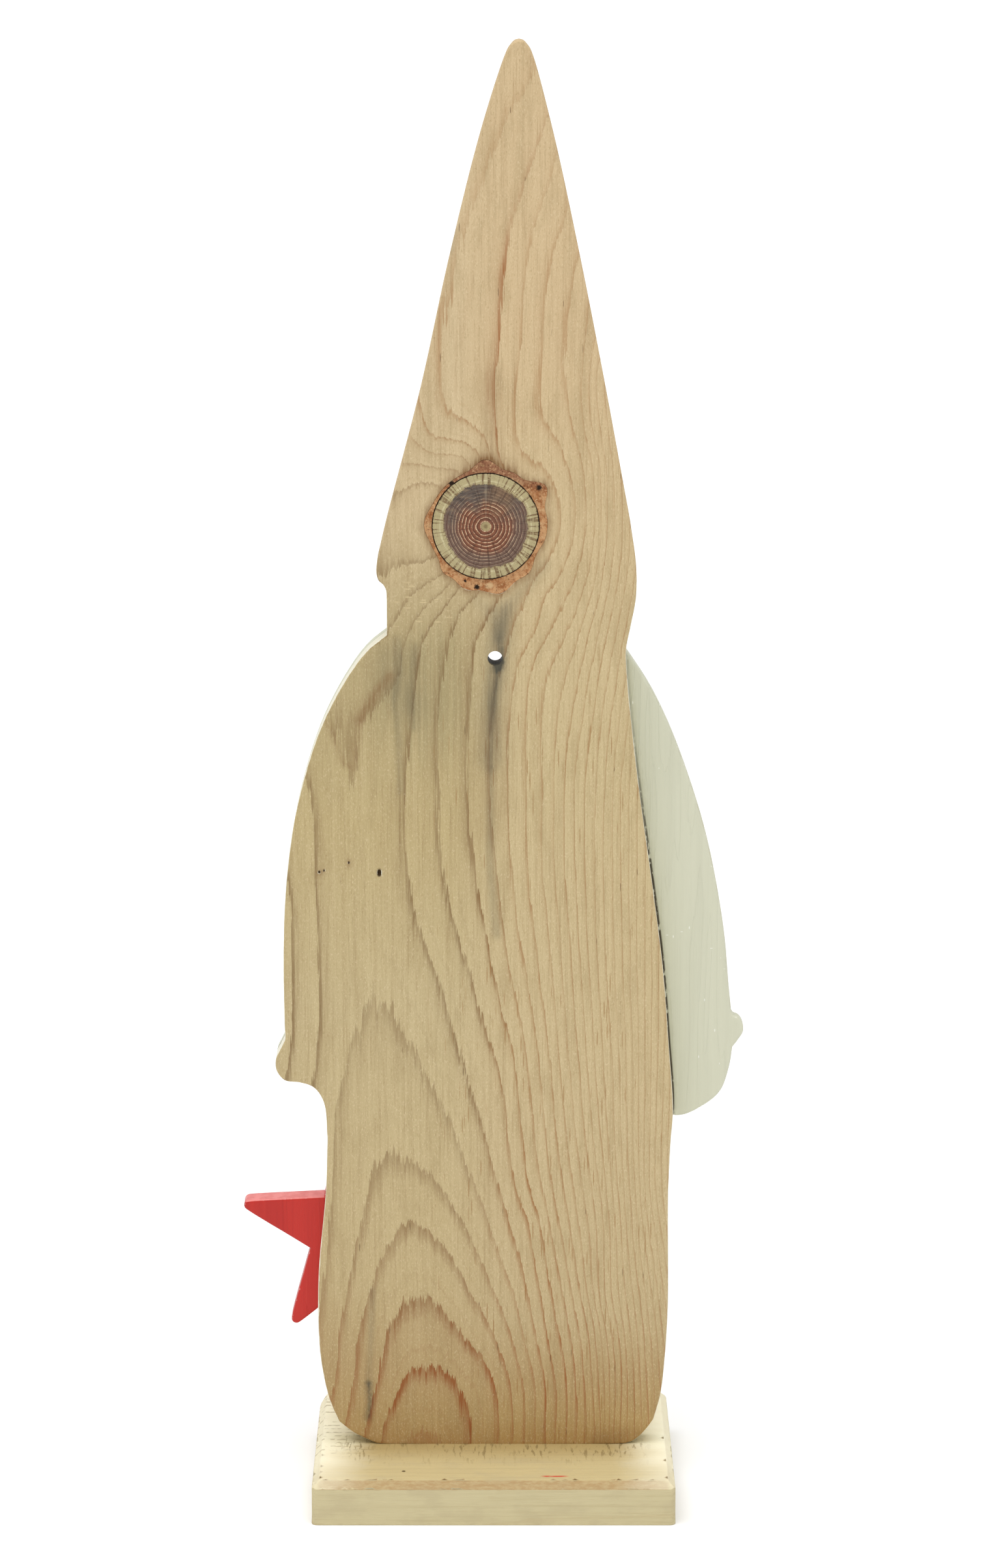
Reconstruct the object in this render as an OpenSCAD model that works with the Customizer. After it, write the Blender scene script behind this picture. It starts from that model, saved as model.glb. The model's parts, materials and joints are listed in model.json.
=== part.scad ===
// Standing wooden tomte: one sawn pine board on a plinth, with arms, beard, nose and a star
// pegged to its front. The origin is the centre of the plinth's underside, +Z is up and the
// figure looks towards -Y, so its own left hand and the star are on the +X side.

/* [Plinth] */
// Width of the plinth, along X
plinth_w = 125; // [120:1:140]
// Depth of the plinth, along Y
plinth_d = 90; // [80:1:110]
// Thickness of the plinth
plinth_t = 15.5; // [14:0.5:22]
// Chamfer round the plinth's top edge
plinth_chamfer = 2.5; // [1:0.5:4]
// Radius of the three crisp upright corners
corner_r = 2; // [1:0.5:4]
// Radius of the worn front corner on the star's side
worn_corner_r = 11; // [4:1:20]

/* [Boards] */
// Thickness of the main board
board_t = 10; // [8:0.5:16]
// Distance from the plinth's back edge to the board's back face
board_setback = 36.5; // [30:0.5:40]
// Thickness of the two arms
arm_t = 6; // [4:0.5:10]
// Thickness of the beard
beard_t = 6; // [4:0.5:10]
// Diameter of the hole through the neck
hang_hole_d = 5; // [4:0.5:6]

/* [Star] */
// Centre to tip of the star
star_r = 43.5; // [30:0.5:45]
// Thickness of the star
star_t = 8.5; // [5:0.5:12]
// Height of the star's centre above the plinth
star_lift = 74.5; // [60:0.5:76]
// Distance from the middle of the board to the star's centre
star_x = 48.5; // [40:0.5:55]
// Lean of the star, in degrees
star_lean = -3.2; // [-10:0.1:10]
// Radius of the rounded tips
star_tip_r = 1.7; // [0.6:0.1:2]

/* [Nose] */
// Radius of the nose ball
nose_r = 9; // [7:0.5:10]
// How far the ball's centre stands off the board
nose_offset = 5; // [2:0.5:6]

/* [Knot] */
// Radius of the knot at the board's back face
knot_r = 18; // [14:0.5:19]
// How much smaller the knot is at the board's front face
knot_taper = 1.5; // [0.5:0.5:3]
// Thinnest bark round the knot
bark_t = 1.1; // [0.8:0.1:2]

/* [Fixings] */
// Diameter of the wood pegs
peg_d = 4; // [3:0.5:5]
// Length of each peg, shared by the board and the piece on it
peg_l = 9; // [8:0.5:10]
// Diameter of the plinth screws
screw_d = 4; // [3.5:0.5:5]
// Length of the plinth screws
screw_l = 40; // [30:1:50]
// Head diameter of the plinth screws
screw_head_d = 8; // [7:0.5:10]
// Distance between the plinth screws
screw_gap = 56; // [40:1:70]

/* [Hidden] */
$fn = 64;
eps = 0.01;
curve_steps = 5;
board_back = plinth_d / 2 - board_setback;
board_front = board_back - board_t;
board_mid = board_back - board_t / 2;
hang_hole = [-0.5, 296];
knot_at = [2.6, 341];
nose_at = [-3, 311];
star_at = [star_x, plinth_t + star_lift];
peg_in_board = 5;
screw_inset = 0.6;
screw_head_h = 2.4;
screw_slack = 0.25;

// Bark lobes round the knot: direction in degrees, height and half width in degrees
bark_lobes = [[90, 3.4, 12], [118, 1.2, 12], [146, 5.2, 12], [172, 1.4, 12], [190, 1.2, 12],
              [228, 2.2, 12], [258, 4.2, 16], [288, 3.2, 14], [312, 2.0, 9], [2, 1.6, 14]];

// Pegs as [x, z] on the board's front face
arm_peg_spots = [[42, 280], [50, 190], [-41, 280], [-50, 172]];
star_peg_spots = [[star_x - 8, star_at[1] + 4], [star_x + 4, star_at[1] - 8]];
beard_peg_spots = [[-3, 270], [-3, 205]];

// The board's outline as stretches of smooth curve, clockwise from the hat's tip
hat_left = [[-8.3, 501.5], [-6.9, 501.1], [-5.5, 499.7], [-4.3, 497.8], [4.1, 472.3], [14.8, 430],
            [24.3, 387], [35.8, 343], [38.9, 330]];
brim_left = [[38.9, 330], [39.3, 325.6], [38.6, 322.6], [37, 321], [36.1, 319.2], [35.9, 316]];
neck_left = [[35.9, 316], [35.9, 304]];
sleeve_left = [[35.9, 304], [42.4, 298.6], [49, 289.8], [58.4, 271.7], [66.6, 244.6], [70.6, 217.3],
               [71.8, 190], [71.6, 162.5]];
hand_left = [[71.6, 162.5], [73.2, 159.2], [74.7, 156], [74.6, 151.6], [71.8, 148], [66.5, 147.2],
             [61.8, 145.4], [58.4, 140], [57.3, 127]];
skirt_left = [[57.3, 127], [58, 108], [60.6, 80], [61, 58], [59.9, 44], [57.1, 31], [54, 23.6]];
hem_left = [[54, 23.6], [49.2, 19.7], [44.6, 17.2], [40.8, plinth_t]];
hem_right = [[-46, plinth_t], [-49, 16.6], [-53.1, 20.4], [-56, 24.5]];
skirt_right = [[-56, 24.5], [-58.2, 33], [-59.8, 48], [-60.7, 68], [-60.4, 106], [-61.1, 126],
               [-61.8, 137], [-60.1, 161], [-57.8, 188.6], [-54.1, 217], [-49, 253], [-45.1, 288],
               [-44.6, 299], [-46.2, 307.5], [-47.8, 317], [-47.7, 328], [-45.6, 343]];
hat_right = [[-45.6, 343], [-37.4, 386.6], [-28.8, 429.7], [-19.4, 472.3], [-12.4, 497.6], [-11.1, 499.7],
             [-9.7, 501.1], [-8.3, 501.5]];

// The left arm follows the board's own sleeve and hand, then comes back across the front
arm_left_inner = [[58.4, 140], [55, 136.5], [50, 136], [46.2, 142], [43.5, 165], [38, 210], [34, 250],
                  [32.5, 280], [33, 296], [35.9, 304]];

// The right arm stands clear of the board on its outer side
sleeve_right = [[-37, 303.5], [-42, 300.3], [-48.1, 292.1], [-53.7, 283.1], [-60.2, 269.5], [-67, 251.3],
                [-72.5, 233.1], [-76.5, 214.7], [-79.4, 196.3], [-80.9, 180], [-82, 169.6]];
cuff_right = [[-82, 169.6], [-82.8, 168.4], [-84.5, 167.6], [-85.9, 165.6], [-86.1, 162.6],
              [-84.6, 159.9], [-82.5, 157]];
mitten_right = [[-82.5, 157], [-81.4, 149.7], [-78.3, 141], [-72, 135.6], [-64.5, 132.4],
                [-58, 134], [-53.5, 142], [-47, 170], [-39, 210], [-34, 250], [-32.5, 280],
                [-33.5, 297], [-37, 303.5]];

// The beard hangs round the hole in the neck and ends in a point
beard_outer = [[-3, 166], [6, 181], [17, 212], [24.5, 250], [27, 285], [25.5, 308], [22.5, 316]];
beard_inner = [[22.5, 316], [20.3, 315.6], [15.5, 305], [9, 295], [-0.5, 289], [-10, 295], [-17.5, 305],
               [-25.3, 315.6], [-28, 316]];
beard_return = [[-28, 316], [-30.3, 308], [-30, 285], [-29, 250], [-22, 212], [-12, 181], [-3, 166]];

// A smooth curve through all the points, without the last one
function gap(a, b) = sqrt(norm(b - a));
function curve_point(a, b, c, d, u) =
    let (t1 = gap(a, b), t2 = t1 + gap(b, c), t3 = t2 + gap(c, d), t = t1 + (t2 - t1) * u)
    let (ab = ((t1 - t) * a + t * b) / t1)
    let (bc = ((t2 - t) * b + (t - t1) * c) / (t2 - t1))
    let (cd = ((t3 - t) * c + (t - t2) * d) / (t3 - t2))
    let (abc = ((t2 - t) * ab + t * bc) / t2)
    let (bcd = ((t3 - t) * bc + (t - t1) * cd) / (t3 - t1))
    ((t2 - t) * abc + (t - t1) * bcd) / (t2 - t1);
function before(p, i) = i > 0 ? p[i - 1] : 2 * p[0] - p[1];
function after(p, i) = i + 2 < len(p) ? p[i + 2] : 2 * p[i + 1] - p[i];
function curve(p) = [for (i = [0 : len(p) - 2]) for (s = [0 : curve_steps - 1])
    curve_point(before(p, i), p[i], p[i + 1], after(p, i), s / curve_steps)];

function join(lists) = [for (l = lists) each l];

// Stands a flat shape up, its back face at y_back, and gives it a thickness towards -Y
module upright(y_back, thickness) {
    translate([0, y_back, 0])
        rotate([90, 0, 0])
            linear_extrude(thickness)
                children();
}

// A round bar along Y between two depths, at an [x, z] spot
module bar(spot, y_from, y_to, r) {
    translate([spot[0], max(y_from, y_to), spot[1]])
        rotate([90, 0, 0])
            cylinder(h = abs(y_to - y_from), r = r);
}

module pegs(spots) {
    for (spot = spots)
        bar(spot, board_front + peg_in_board, board_front + peg_in_board - peg_l, peg_d / 2);
}

module screw_places() {
    for (side = [-1, 1])
        translate([side * screw_gap / 2, board_mid, 0])
            children();
}

// Rectangle with four rounded corners, given anticlockwise from the front left
function corner(x, y, r, start) = [for (a = [start : 15 : start + 90]) [x + r * cos(a), y + r * sin(a)]];
module plinth_plan() {
    w = plinth_w / 2;
    d = plinth_d / 2;
    polygon(join([
        corner(-w + corner_r, -d + corner_r, corner_r, 180),
        corner(w - worn_corner_r, -d + worn_corner_r, worn_corner_r, 270),
        corner(w - corner_r, d - corner_r, corner_r, 0),
        corner(-w + corner_r, d - corner_r, corner_r, 90)
    ]));
}

// Upright section of the plinth, with the top corners cut off
module chamfered_section(width) {
    w = width / 2;
    c = plinth_chamfer;
    polygon([[-w, 0], [w, 0], [w, plinth_t - c], [w - c, plinth_t], [c - w, plinth_t], [-w, plinth_t - c]]);
}

module plinth() {
    color("burlywood")
    difference() {
        intersection() {
            linear_extrude(plinth_t)
                plinth_plan();
            translate([0, plinth_d / 2, 0])
                rotate([90, 0, 0])
                    linear_extrude(plinth_d)
                        chamfered_section(plinth_w);
            translate([-plinth_w / 2, 0, 0])
                rotate([90, 0, 90])
                    linear_extrude(plinth_w)
                        chamfered_section(plinth_d);
        }
        screw_places() {
            translate([0, 0, -eps])
                cylinder(h = plinth_t + 2 * eps, r = screw_d / 2 + screw_slack);
            translate([0, 0, -eps])
                cylinder(h = screw_inset + eps, r = screw_head_d / 2 + screw_slack);
            translate([0, 0, screw_inset])
                cylinder(h = screw_head_h, r1 = screw_head_d / 2 + screw_slack, r2 = screw_d / 2 + screw_slack);
        }
    }
}

function swell(angle, lobe) = let (off = (angle - lobe[0] + 540) % 360 - 180) lobe[1] * exp(-pow(off / lobe[2], 2));
function bark_reach(angle) = knot_r + bark_t + sum_of([for (l = bark_lobes) swell(angle, l)]);
function sum_of(v) = v * [for (i = v) 1];
module bark_plan() {
    translate(knot_at)
        polygon([for (a = [0 : 4 : 356]) bark_reach(a) * [cos(a), sin(a)]]);
}

module body_board() {
    color("tan")
    difference() {
        upright(board_back, board_t)
            polygon(join([curve(hat_left), curve(brim_left), neck_left, curve(sleeve_left), curve(hand_left),
                          curve(skirt_left), curve(hem_left), [[40.8, plinth_t]], curve(hem_right),
                          curve(skirt_right), curve(hat_right)]));
        upright(board_back + eps, board_t + 2 * eps)
            bark_plan();
        bar(hang_hole, board_back + 1, board_front - 1, hang_hole_d / 2);
        pegs(join([arm_peg_spots, star_peg_spots, beard_peg_spots, [nose_at]]));
        screw_places()
            translate([0, 0, plinth_t - 1])
                cylinder(h = screw_inset + screw_l - plinth_t + 1, r = screw_d / 2);
    }
}

// The dead branch through the hat, narrower towards the front
module knot_core() {
    color("sienna")
    translate([knot_at[0], board_back, knot_at[1]])
        rotate([90, 0, 0])
            cylinder(h = board_t, r1 = knot_r, r2 = knot_r - knot_taper, $fn = 96);
}

module bark_ring() {
    color("saddlebrown")
    difference() {
        upright(board_back, board_t)
            bark_plan();
        translate([knot_at[0], board_back, knot_at[1]])
            rotate([90, 0, 0])
                translate([0, 0, -board_t])
                    cylinder(h = 3 * board_t, r1 = knot_r + knot_taper, r2 = knot_r - 2 * knot_taper, $fn = 96);
    }
}

module left_arm() {
    color("ivory")
    difference() {
        upright(board_front, arm_t)
            polygon(join([curve(sleeve_left), curve([for (i = [0 : 7]) hand_left[i]]), curve(arm_left_inner)]));
        pegs(arm_peg_spots);
    }
}

module right_arm() {
    color("ivory")
    difference() {
        upright(board_front, arm_t)
            polygon(join([curve(sleeve_right), curve(cuff_right), curve(mitten_right)]));
        pegs(arm_peg_spots);
    }
}

module beard() {
    color("whitesmoke")
    difference() {
        upright(board_front, beard_t)
            polygon(join([curve(beard_outer), curve(beard_inner), curve(beard_return)]));
        pegs(beard_peg_spots);
    }
}

// A turned ball with a flat and a peg socket where it meets the board
module nose() {
    color("peachpuff")
    translate([nose_at[0], board_front, nose_at[1]])
        rotate([90, 0, 0])
            rotate_extrude()
                difference() {
                    intersection() {
                        translate([0, nose_offset])
                            circle(nose_r);
                        square([nose_r, nose_offset + nose_r]);
                    }
                    translate([0, -eps])
                        square([peg_d / 2, peg_l - peg_in_board + eps]);
                }
}

// Five-pointed star: each tip is a short arc, each notch a single corner
function star_tip(a) = let (half = 18, back = star_tip_r / sin(half), c = (star_r - back) * [cos(a), sin(a)])
    [for (s = [-72 : 24 : 72]) c + star_tip_r * [cos(a + s), sin(a + s)]];
function star_notch(a) = star_r * cos(72) / cos(36) * [[cos(a), sin(a)]];
module star() {
    color("crimson")
    difference() {
        upright(board_front, star_t)
            translate(star_at)
                rotate(star_lean)
                    polygon(join([for (a = [18 : 72 : 306]) each [star_tip(a), star_notch(a + 36)]]));
        pegs(star_peg_spots);
    }
}

// Countersunk screw with a cross recess, driven up through the plinth
module plinth_screws() {
    color("silver")
    screw_places()
        difference() {
            translate([0, 0, screw_inset])
                union() {
                    cylinder(h = screw_head_h, r1 = screw_head_d / 2, r2 = screw_d / 2);
                    cylinder(h = screw_l - screw_d, r = screw_d / 2);
                    translate([0, 0, screw_l - screw_d])
                        cylinder(h = screw_d, r1 = screw_d / 2, r2 = 0.4);
                }
            for (turn = [0, 90])
                rotate(turn)
                    translate([-2, -0.4, 0])
                        cube([4, 0.8, screw_inset + 1.6]);
        }
}

module arm_pegs() {
    color("wheat")
    pegs(arm_peg_spots);
}

module star_pegs() {
    color("wheat")
    pegs(star_peg_spots);
}

module beard_pegs() {
    color("wheat")
    pegs(beard_peg_spots);
}

module nose_peg() {
    color("wheat")
    pegs([nose_at]);
}

plinth();
body_board();
knot_core();
bark_ring();
right_arm();
left_arm();
beard();
nose();
star();
plinth_screws();
arm_pegs();
star_pegs();
beard_pegs();
nose_peg();
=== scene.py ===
"""Looks of a sawn-pine tomte: grain, knot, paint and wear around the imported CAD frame."""
import functools
import json
import math
import bmesh
import bpy
import numpy as np
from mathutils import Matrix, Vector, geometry, kdtree, noise


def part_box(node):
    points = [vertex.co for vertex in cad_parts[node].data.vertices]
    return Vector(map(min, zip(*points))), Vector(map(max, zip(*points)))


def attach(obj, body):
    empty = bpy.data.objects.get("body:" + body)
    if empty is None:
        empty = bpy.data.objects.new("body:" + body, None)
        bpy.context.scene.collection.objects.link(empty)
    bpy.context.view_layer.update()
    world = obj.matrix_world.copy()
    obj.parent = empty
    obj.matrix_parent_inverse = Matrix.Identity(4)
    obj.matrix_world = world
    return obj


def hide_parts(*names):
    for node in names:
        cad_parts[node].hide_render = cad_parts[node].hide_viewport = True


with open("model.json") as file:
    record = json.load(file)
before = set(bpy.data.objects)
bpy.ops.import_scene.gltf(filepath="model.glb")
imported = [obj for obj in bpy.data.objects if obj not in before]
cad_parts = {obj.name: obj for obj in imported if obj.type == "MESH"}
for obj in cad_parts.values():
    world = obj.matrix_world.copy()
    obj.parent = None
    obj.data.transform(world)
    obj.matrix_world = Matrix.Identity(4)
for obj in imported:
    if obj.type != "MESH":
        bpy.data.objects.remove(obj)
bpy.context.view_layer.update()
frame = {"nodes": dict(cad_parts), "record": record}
MM = 0.001

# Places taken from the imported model, in metres
BOARD_LOW, BOARD_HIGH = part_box("body_board")
BACK = BOARD_HIGH.y
FRONT = BOARD_LOW.y
KNOT_LOW, KNOT_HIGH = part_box("knot_core")
KNOT_X = (KNOT_LOW.x + KNOT_HIGH.x) / 2
KNOT_Z = (KNOT_LOW.z + KNOT_HIGH.z) / 2
KNOT_R = (KNOT_HIGH.x - KNOT_LOW.x) / 2
HOLE = next(Vector(m["pos_m"]) for m in frame["record"]["mounts"] if m["name"] == "hang_hole")
PEG_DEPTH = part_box("arm_pegs")[1].y - FRONT
PEG_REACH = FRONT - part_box("arm_pegs")[0].y
BRIM_Z = 0.322

# Guides for the growth rings on the board's back, given to the millimetre:
# (ring number, points [x, z] along its dark edge)
RINGS = [
    # The nested arches at the foot
    (0, [(30, 17), (25, 20), (19, 17)]),
    (1, [(39, 19), (36, 28), (31, 40), (25, 44), (17, 42), (11, 35), (8, 16)]),
    (2, [(44, 24), (40, 41), (35, 62), (26, 69), (19, 67), (12, 57), (0, 39), (-2, 20)]),
    (3, [(50, 34), (48, 52), (41, 78), (29, 97), (22, 93), (16, 87), (6, 68), (-4, 45), (-7, 20)]),
    (4, [(55, 40), (52, 66), (46, 96), (33, 122), (28, 118), (14, 103), (3, 79), (-7, 52), (-11, 20)]),
    (5, [(54, 138), (51, 153), (45, 171), (38, 175), (30, 165), (14, 131), (3, 101), (-7, 71), (-15, 32)]),
    # The sleeve and the long lines down the back
    (5, [(55, 274), (52, 266), (48, 256), (46, 264), (45, 275), (38, 282), (31, 292)]),
    (6, [(62, 250), (61, 220), (60, 190), (61, 155)]),
    (6, [(30, 250), (30, 230), (26, 204), (19, 185), (12, 158), (5, 135), (-7, 91), (-13, 65), (-18, 24)]),
    (7, [(69, 210), (69, 165)]),
    (7, [(19, 275), (18, 250), (18, 230), (12, 199), (3, 167), (-4, 141), (-12, 98), (-19, 54), (-22, 25)]),
    (8, [(8, 280), (9, 250), (7, 230), (2, 199), (-7, 156), (-13, 107), (-23, 56), (-26, 25)]),
    (9, [(1, 268), (1, 250), (-1, 223), (-4, 197), (-12, 150), (-19, 100), (-29, 20)]),
    (10, [(-5, 270), (-5, 240), (-7, 215), (-11, 187), (-16, 150), (-22, 100), (-32, 20)]),
    (11, [(-11, 250), (-14, 200), (-20, 150), (-26, 100), (-36, 20)]),
    (12, [(-17, 250), (-19, 200), (-23, 150), (-29, 100), (-35, 60)]),
    (14, [(-24, 250), (-26, 200), (-30, 150), (-36, 95)]),
    (15, [(-39, 68), (-42, 20)]),
    (16, [(-31, 250), (-32, 200), (-35, 150), (-39, 110)]),
    (17, [(-44, 68), (-47, 20)]),
    (18, [(-38, 250), (-38, 200), (-41, 150), (-43, 110)]),
    (19, [(-49, 68), (-52, 25)]),
    (20, [(-43, 250), (-44, 200), (-46, 150), (-47, 110)]),
    (22, [(-49, 230), (-50, 150), (-51, 110)]),
    (24, [(-54, 200), (-54, 110)]),
    # Below the knot, from the neck
    (3, [(38, 324), (31, 328), (20, 330)]),
    (4, [(33, 308), (26, 319), (20, 323)]),
    (5, [(30, 301), (25, 311), (15, 320)]),
    (6, [(28, 270), (25, 298), (20, 309), (14, 318)]),
    (7, [(17, 291), (15, 301), (10, 313)]),
    (8, [(7, 297), (4, 306), (-1, 314)]),
    # Round the knot and up the hat
    (3, [(31, 353), (25, 356), (20, 356)]),
    (4, [(29, 362), (12, 361)]),
    (5, [(27, 371), (23, 367), (15, 365), (9, 363)]),
    (6, [(24, 381), (20, 371), (12, 370), (5, 366)]),
    (7, [(-13, 491), (-5, 478), (3, 459), (11, 437), (17, 405), (17, 390), (14, 379), (6, 374), (1, 366)]),
    (8, [(-17, 474), (-11, 456), (-5, 436), (-3, 415), (-2, 398), (-1, 378), (-1, 366)]),
    (9, [(-20, 463), (-14, 443), (-10, 418), (-9, 400), (-7, 385), (-7, 372), (-17, 361), (-22, 350),
         (-22, 338), (-18, 328), (-7, 308), (-4, 298), (-1, 283)]),
    (10, [(-24, 445), (-19, 429), (-16, 400), (-16, 378), (-24, 363), (-27, 350), (-27, 340), (-24, 328),
          (-17, 317), (-14, 303), (-8, 293)]),
    (11, [(-27, 426), (-24, 410), (-23, 395), (-26, 377), (-30, 360), (-31, 343), (-28, 326), (-22, 311),
          (-15, 299)]),
    (12, [(-31, 408), (-30, 394), (-33, 362), (-34, 343), (-32, 325), (-27, 310), (-21, 297)]),
    (14, [(-34, 392), (-36, 370), (-38, 345), (-37, 327), (-33, 308), (-28, 285)]),
    (16, [(-43, 345), (-43, 333), (-41, 318), (-37, 298)]),
]

# How dark each ring's latewood is, from ring 0 outwards
RING_DEPTH = [0.5, 1.0, 1.0, 0.55, 0.5, 0.6, 0.75, 0.65, 0.85, 0.6, 0.65, 0.6, 0.55, 0.55, 0.55, 0.5, 0.5,
              0.45]

# Stains on the board's back: (strength, width in mm, points [x, z] along the stain)
GREY_STAINS = [
    (0.80, 1.3, [(-1.9, 294.6), (-1.6, 293.4), (-0.9, 292.8)]),
    (0.35, 1.1, [(-3.0, 298.5), (-3.1, 296), (-2.4, 293)]),
    (0.20, 2.6, [(-2, 300), (-3.5, 308), (-6, 315), (-11, 321), (-17, 328)]),
    (0.14, 2.2, [(-1, 303), (1, 310), (5, 316)]),
    (0.36, 4.4, [(-2.6, 312), (-1.2, 298), (0.3, 280), (1, 262)]),
    (0.28, 1.6, [(1, 258), (1.2, 225), (-1, 200)]),
    (0.60, 1.1, [(43.6, 38), (43.2, 31), (44, 25)]),
    (0.25, 1.1, [(42, 72), (42.5, 56), (43.4, 38)]),
    (0.22, 6.0, [(33, 296), (34, 288), (28, 280)]),
    (0.22, 1.1, [(32.5, 303), (31.7, 291), (33.4, 282), (32, 268), (31.5, 250)]),
    (0.22, 1.3, [(26, 300), (27.5, 287), (26.6, 272)]),
    (0.30, 1.3, [(13.2, 440), (14.6, 433)]),
]
BROWN_STAINS = [
    (0.55, 1.7, [(35, 290), (39, 285), (43, 279), (45, 275)]),
    (0.35, 1.0, [(45, 275), (46.4, 266), (46.8, 258), (51, 260), (53.4, 267), (56, 274)]),
    (0.50, 1.2, [(58.5, 222), (59.8, 221.5)]),
    (0.35, 0.9, [(49.2, 226), (49.2, 224)]),
    (0.30, 3.0, [(-36, 17), (-50, 19)]),
    (0.30, 3.0, [(12, 360), (3, 364), (-6, 361)]),
    (0.28, 3.0, [(1, 362), (0.5, 375), (0, 392)]),
    (0.16, 7.0, [(0, 272), (0.5, 255), (2, 238)]),
]
# The grey streak that runs down from the hole, darkest beside it
HOLE_STREAK = [(-1.6, 294), (-1.0, 290), (0.3, 284), (0.8, 272), (1, 258)]
HOLE_STREAK_WIDTH = 1.9

# Worm holes and specks on the board's back: [x, z], half width, half height and depth in mm
PITS = [(38.9, 221.7, 0.7, 1.3, 1.4), (59.3, 221.9, 0.5, 0.6, 0.7), (57.6, 222.5, 0.35, 0.5, 0.5),
        (49.2, 225.2, 0.35, 0.55, 0.5)]
# The dark colour painted in each of them: [x, z], half width and half height in mm
PIT_MARKS = [(38.9, 221.5, 0.75, 1.3), (59.3, 221.9, 0.4, 0.5), (57.7, 222.4, 0.25, 0.4),
             (49.2, 225.2, 0.3, 0.5)]

# Drying checks in the knot: angle round it, the share of the radius where it starts, half width as an angle
KNOT_CHECKS = [(1.45, 0.35, 0.05), (1.75, 0.5, 0.03), (4.4, 0.6, 0.03), (0.2, 0.7, 0.025)]

# Black pits in the bark: [x, z] and radius in mm
BARK_PITS = [(-15.2, 354.0, 1.3), (5.5, 320.4, 1.2), (14.0, 355.5, 1.4), (9.5, 322.5, 0.7)]

# Fixings, as the CAD model has them
PEG_R = 2 * MM
SCREW_HEAD_R = 4 * MM

# Paint of the hat's front, as 0 to 255
HAT_RED = (186, 38, 36)

# ---------------------------------------------------------------- mesh tools

def face_loops(node, level):
    """The closed [x, z] outlines of a CAD node's flat face at one level of Y, solid on their left."""
    mesh = frame["nodes"][node].data
    mesh.calc_loop_triangles()
    spots, edges = {}, {}
    for triangle in mesh.loop_triangles:
        corners = [mesh.vertices[v].co for v in triangle.vertices]
        if any(abs(c.y - level) > 0.00001 for c in corners):
            continue
        flat = [(round(c.x, 6), round(c.z, 6)) for c in corners]
        area = np.cross(np.subtract(flat[1], flat[0]), np.subtract(flat[2], flat[0]))
        flat = flat if area > 0 else flat[::-1]
        for a, b in zip(flat, flat[1:] + flat[:1]):
            edges[(a, b)] = True
    for a, b in edges:
        if (b, a) not in edges:
            spots[a] = b
    loops = []
    while spots:
        start, here = next(iter(spots.items()))
        del spots[start]
        loop = [start]
        while here != start:
            loop.append(here)
            here = spots.pop(here)
        loops.append(np.array(loop))
    return loops


def widest_loop(node, level):
    """The widest of a node's outlines at one level: its outer edge."""
    return max(face_loops(node, level), key=lambda loop: np.ptp(loop[:, 0]))


def curve_span(a, b, c, d, shares):
    """Points from b towards c on a centripetal Catmull-Rom curve."""
    gaps = [max(math.sqrt(np.linalg.norm(q - p)), 1e-6) for p, q in ((a, b), (b, c), (c, d))]
    t1 = gaps[0]
    t2 = t1 + gaps[1]
    t3 = t2 + gaps[2]
    t = (t1 + (t2 - t1) * shares)[:, None]
    ab = ((t1 - t) * a + t * b) / t1
    bc = ((t2 - t) * b + (t - t1) * c) / (t2 - t1)
    cd = ((t3 - t) * c + (t - t2) * d) / (t3 - t2)
    abc = ((t2 - t) * ab + t * bc) / t2
    bcd = ((t3 - t) * bc + (t - t1) * cd) / (t3 - t1)
    return ((t2 - t) * abc + (t - t1) * bcd) / (t2 - t1)


def resample(loop, step, corner=0.5):
    """The outline with points about a step apart, smooth except where it turns more than a corner."""
    ahead = np.roll(loop, -1, 0) - loop
    behind = loop - np.roll(loop, 1, 0)
    turn = np.abs(np.arctan2(np.cross(behind, ahead), (behind * ahead).sum(1)))
    sharp = turn > corner
    count = len(loop)
    points = []
    for i in range(count):
        b, c = loop[i], loop[(i + 1) % count]
        a = 2 * b - c if sharp[i] else loop[i - 1]
        d = 2 * c - b if sharp[(i + 1) % count] else loop[(i + 2) % count]
        shares = np.arange(0, 1, 1 / max(1, round(np.linalg.norm(c - b) / step)))
        points.append(curve_span(a, b, c, d, shares))
    return np.concatenate(points)


def inset(loop, distance):
    """The outline moved into the solid on its left, by one distance or by one for each point."""
    ahead = np.roll(loop, -1, 0) - loop
    ahead /= np.linalg.norm(ahead, axis=1)[:, None]
    behind = np.roll(ahead, 1, 0)
    normal = np.stack([-ahead[:, 1], ahead[:, 0]], 1)
    before = np.stack([-behind[:, 1], behind[:, 0]], 1)
    middle = normal + before
    middle /= np.linalg.norm(middle, axis=1)[:, None]
    reach = 1 / np.maximum((middle * normal).sum(1), 0.6)
    return loop + middle * (reach * distance)[:, None]


def inside(points, loops):
    """Which points lie in the area that the outlines bound, holes left out."""
    hit = np.zeros(len(points), bool)
    for loop in loops:
        for a, b in zip(loop, np.roll(loop, -1, 0)):
            if a[1] == b[1]:
                continue
            level = (a[1] > points[:, 1]) != (b[1] > points[:, 1])
            cross = a[0] + (points[:, 1] - a[1]) * (b[0] - a[0]) / (b[1] - a[1])
            hit ^= level & (points[:, 0] < cross)
    return hit


def gap_to(marks, points):
    """The distance from each [x, z] point to the nearest of the marks."""
    tree = kdtree.KDTree(len(marks))
    for i, (x, z) in enumerate(marks):
        tree.insert((x, z, 0), i)
    tree.balance()
    return np.array([tree.find((x, z, 0))[2] for x, z in points])


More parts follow.
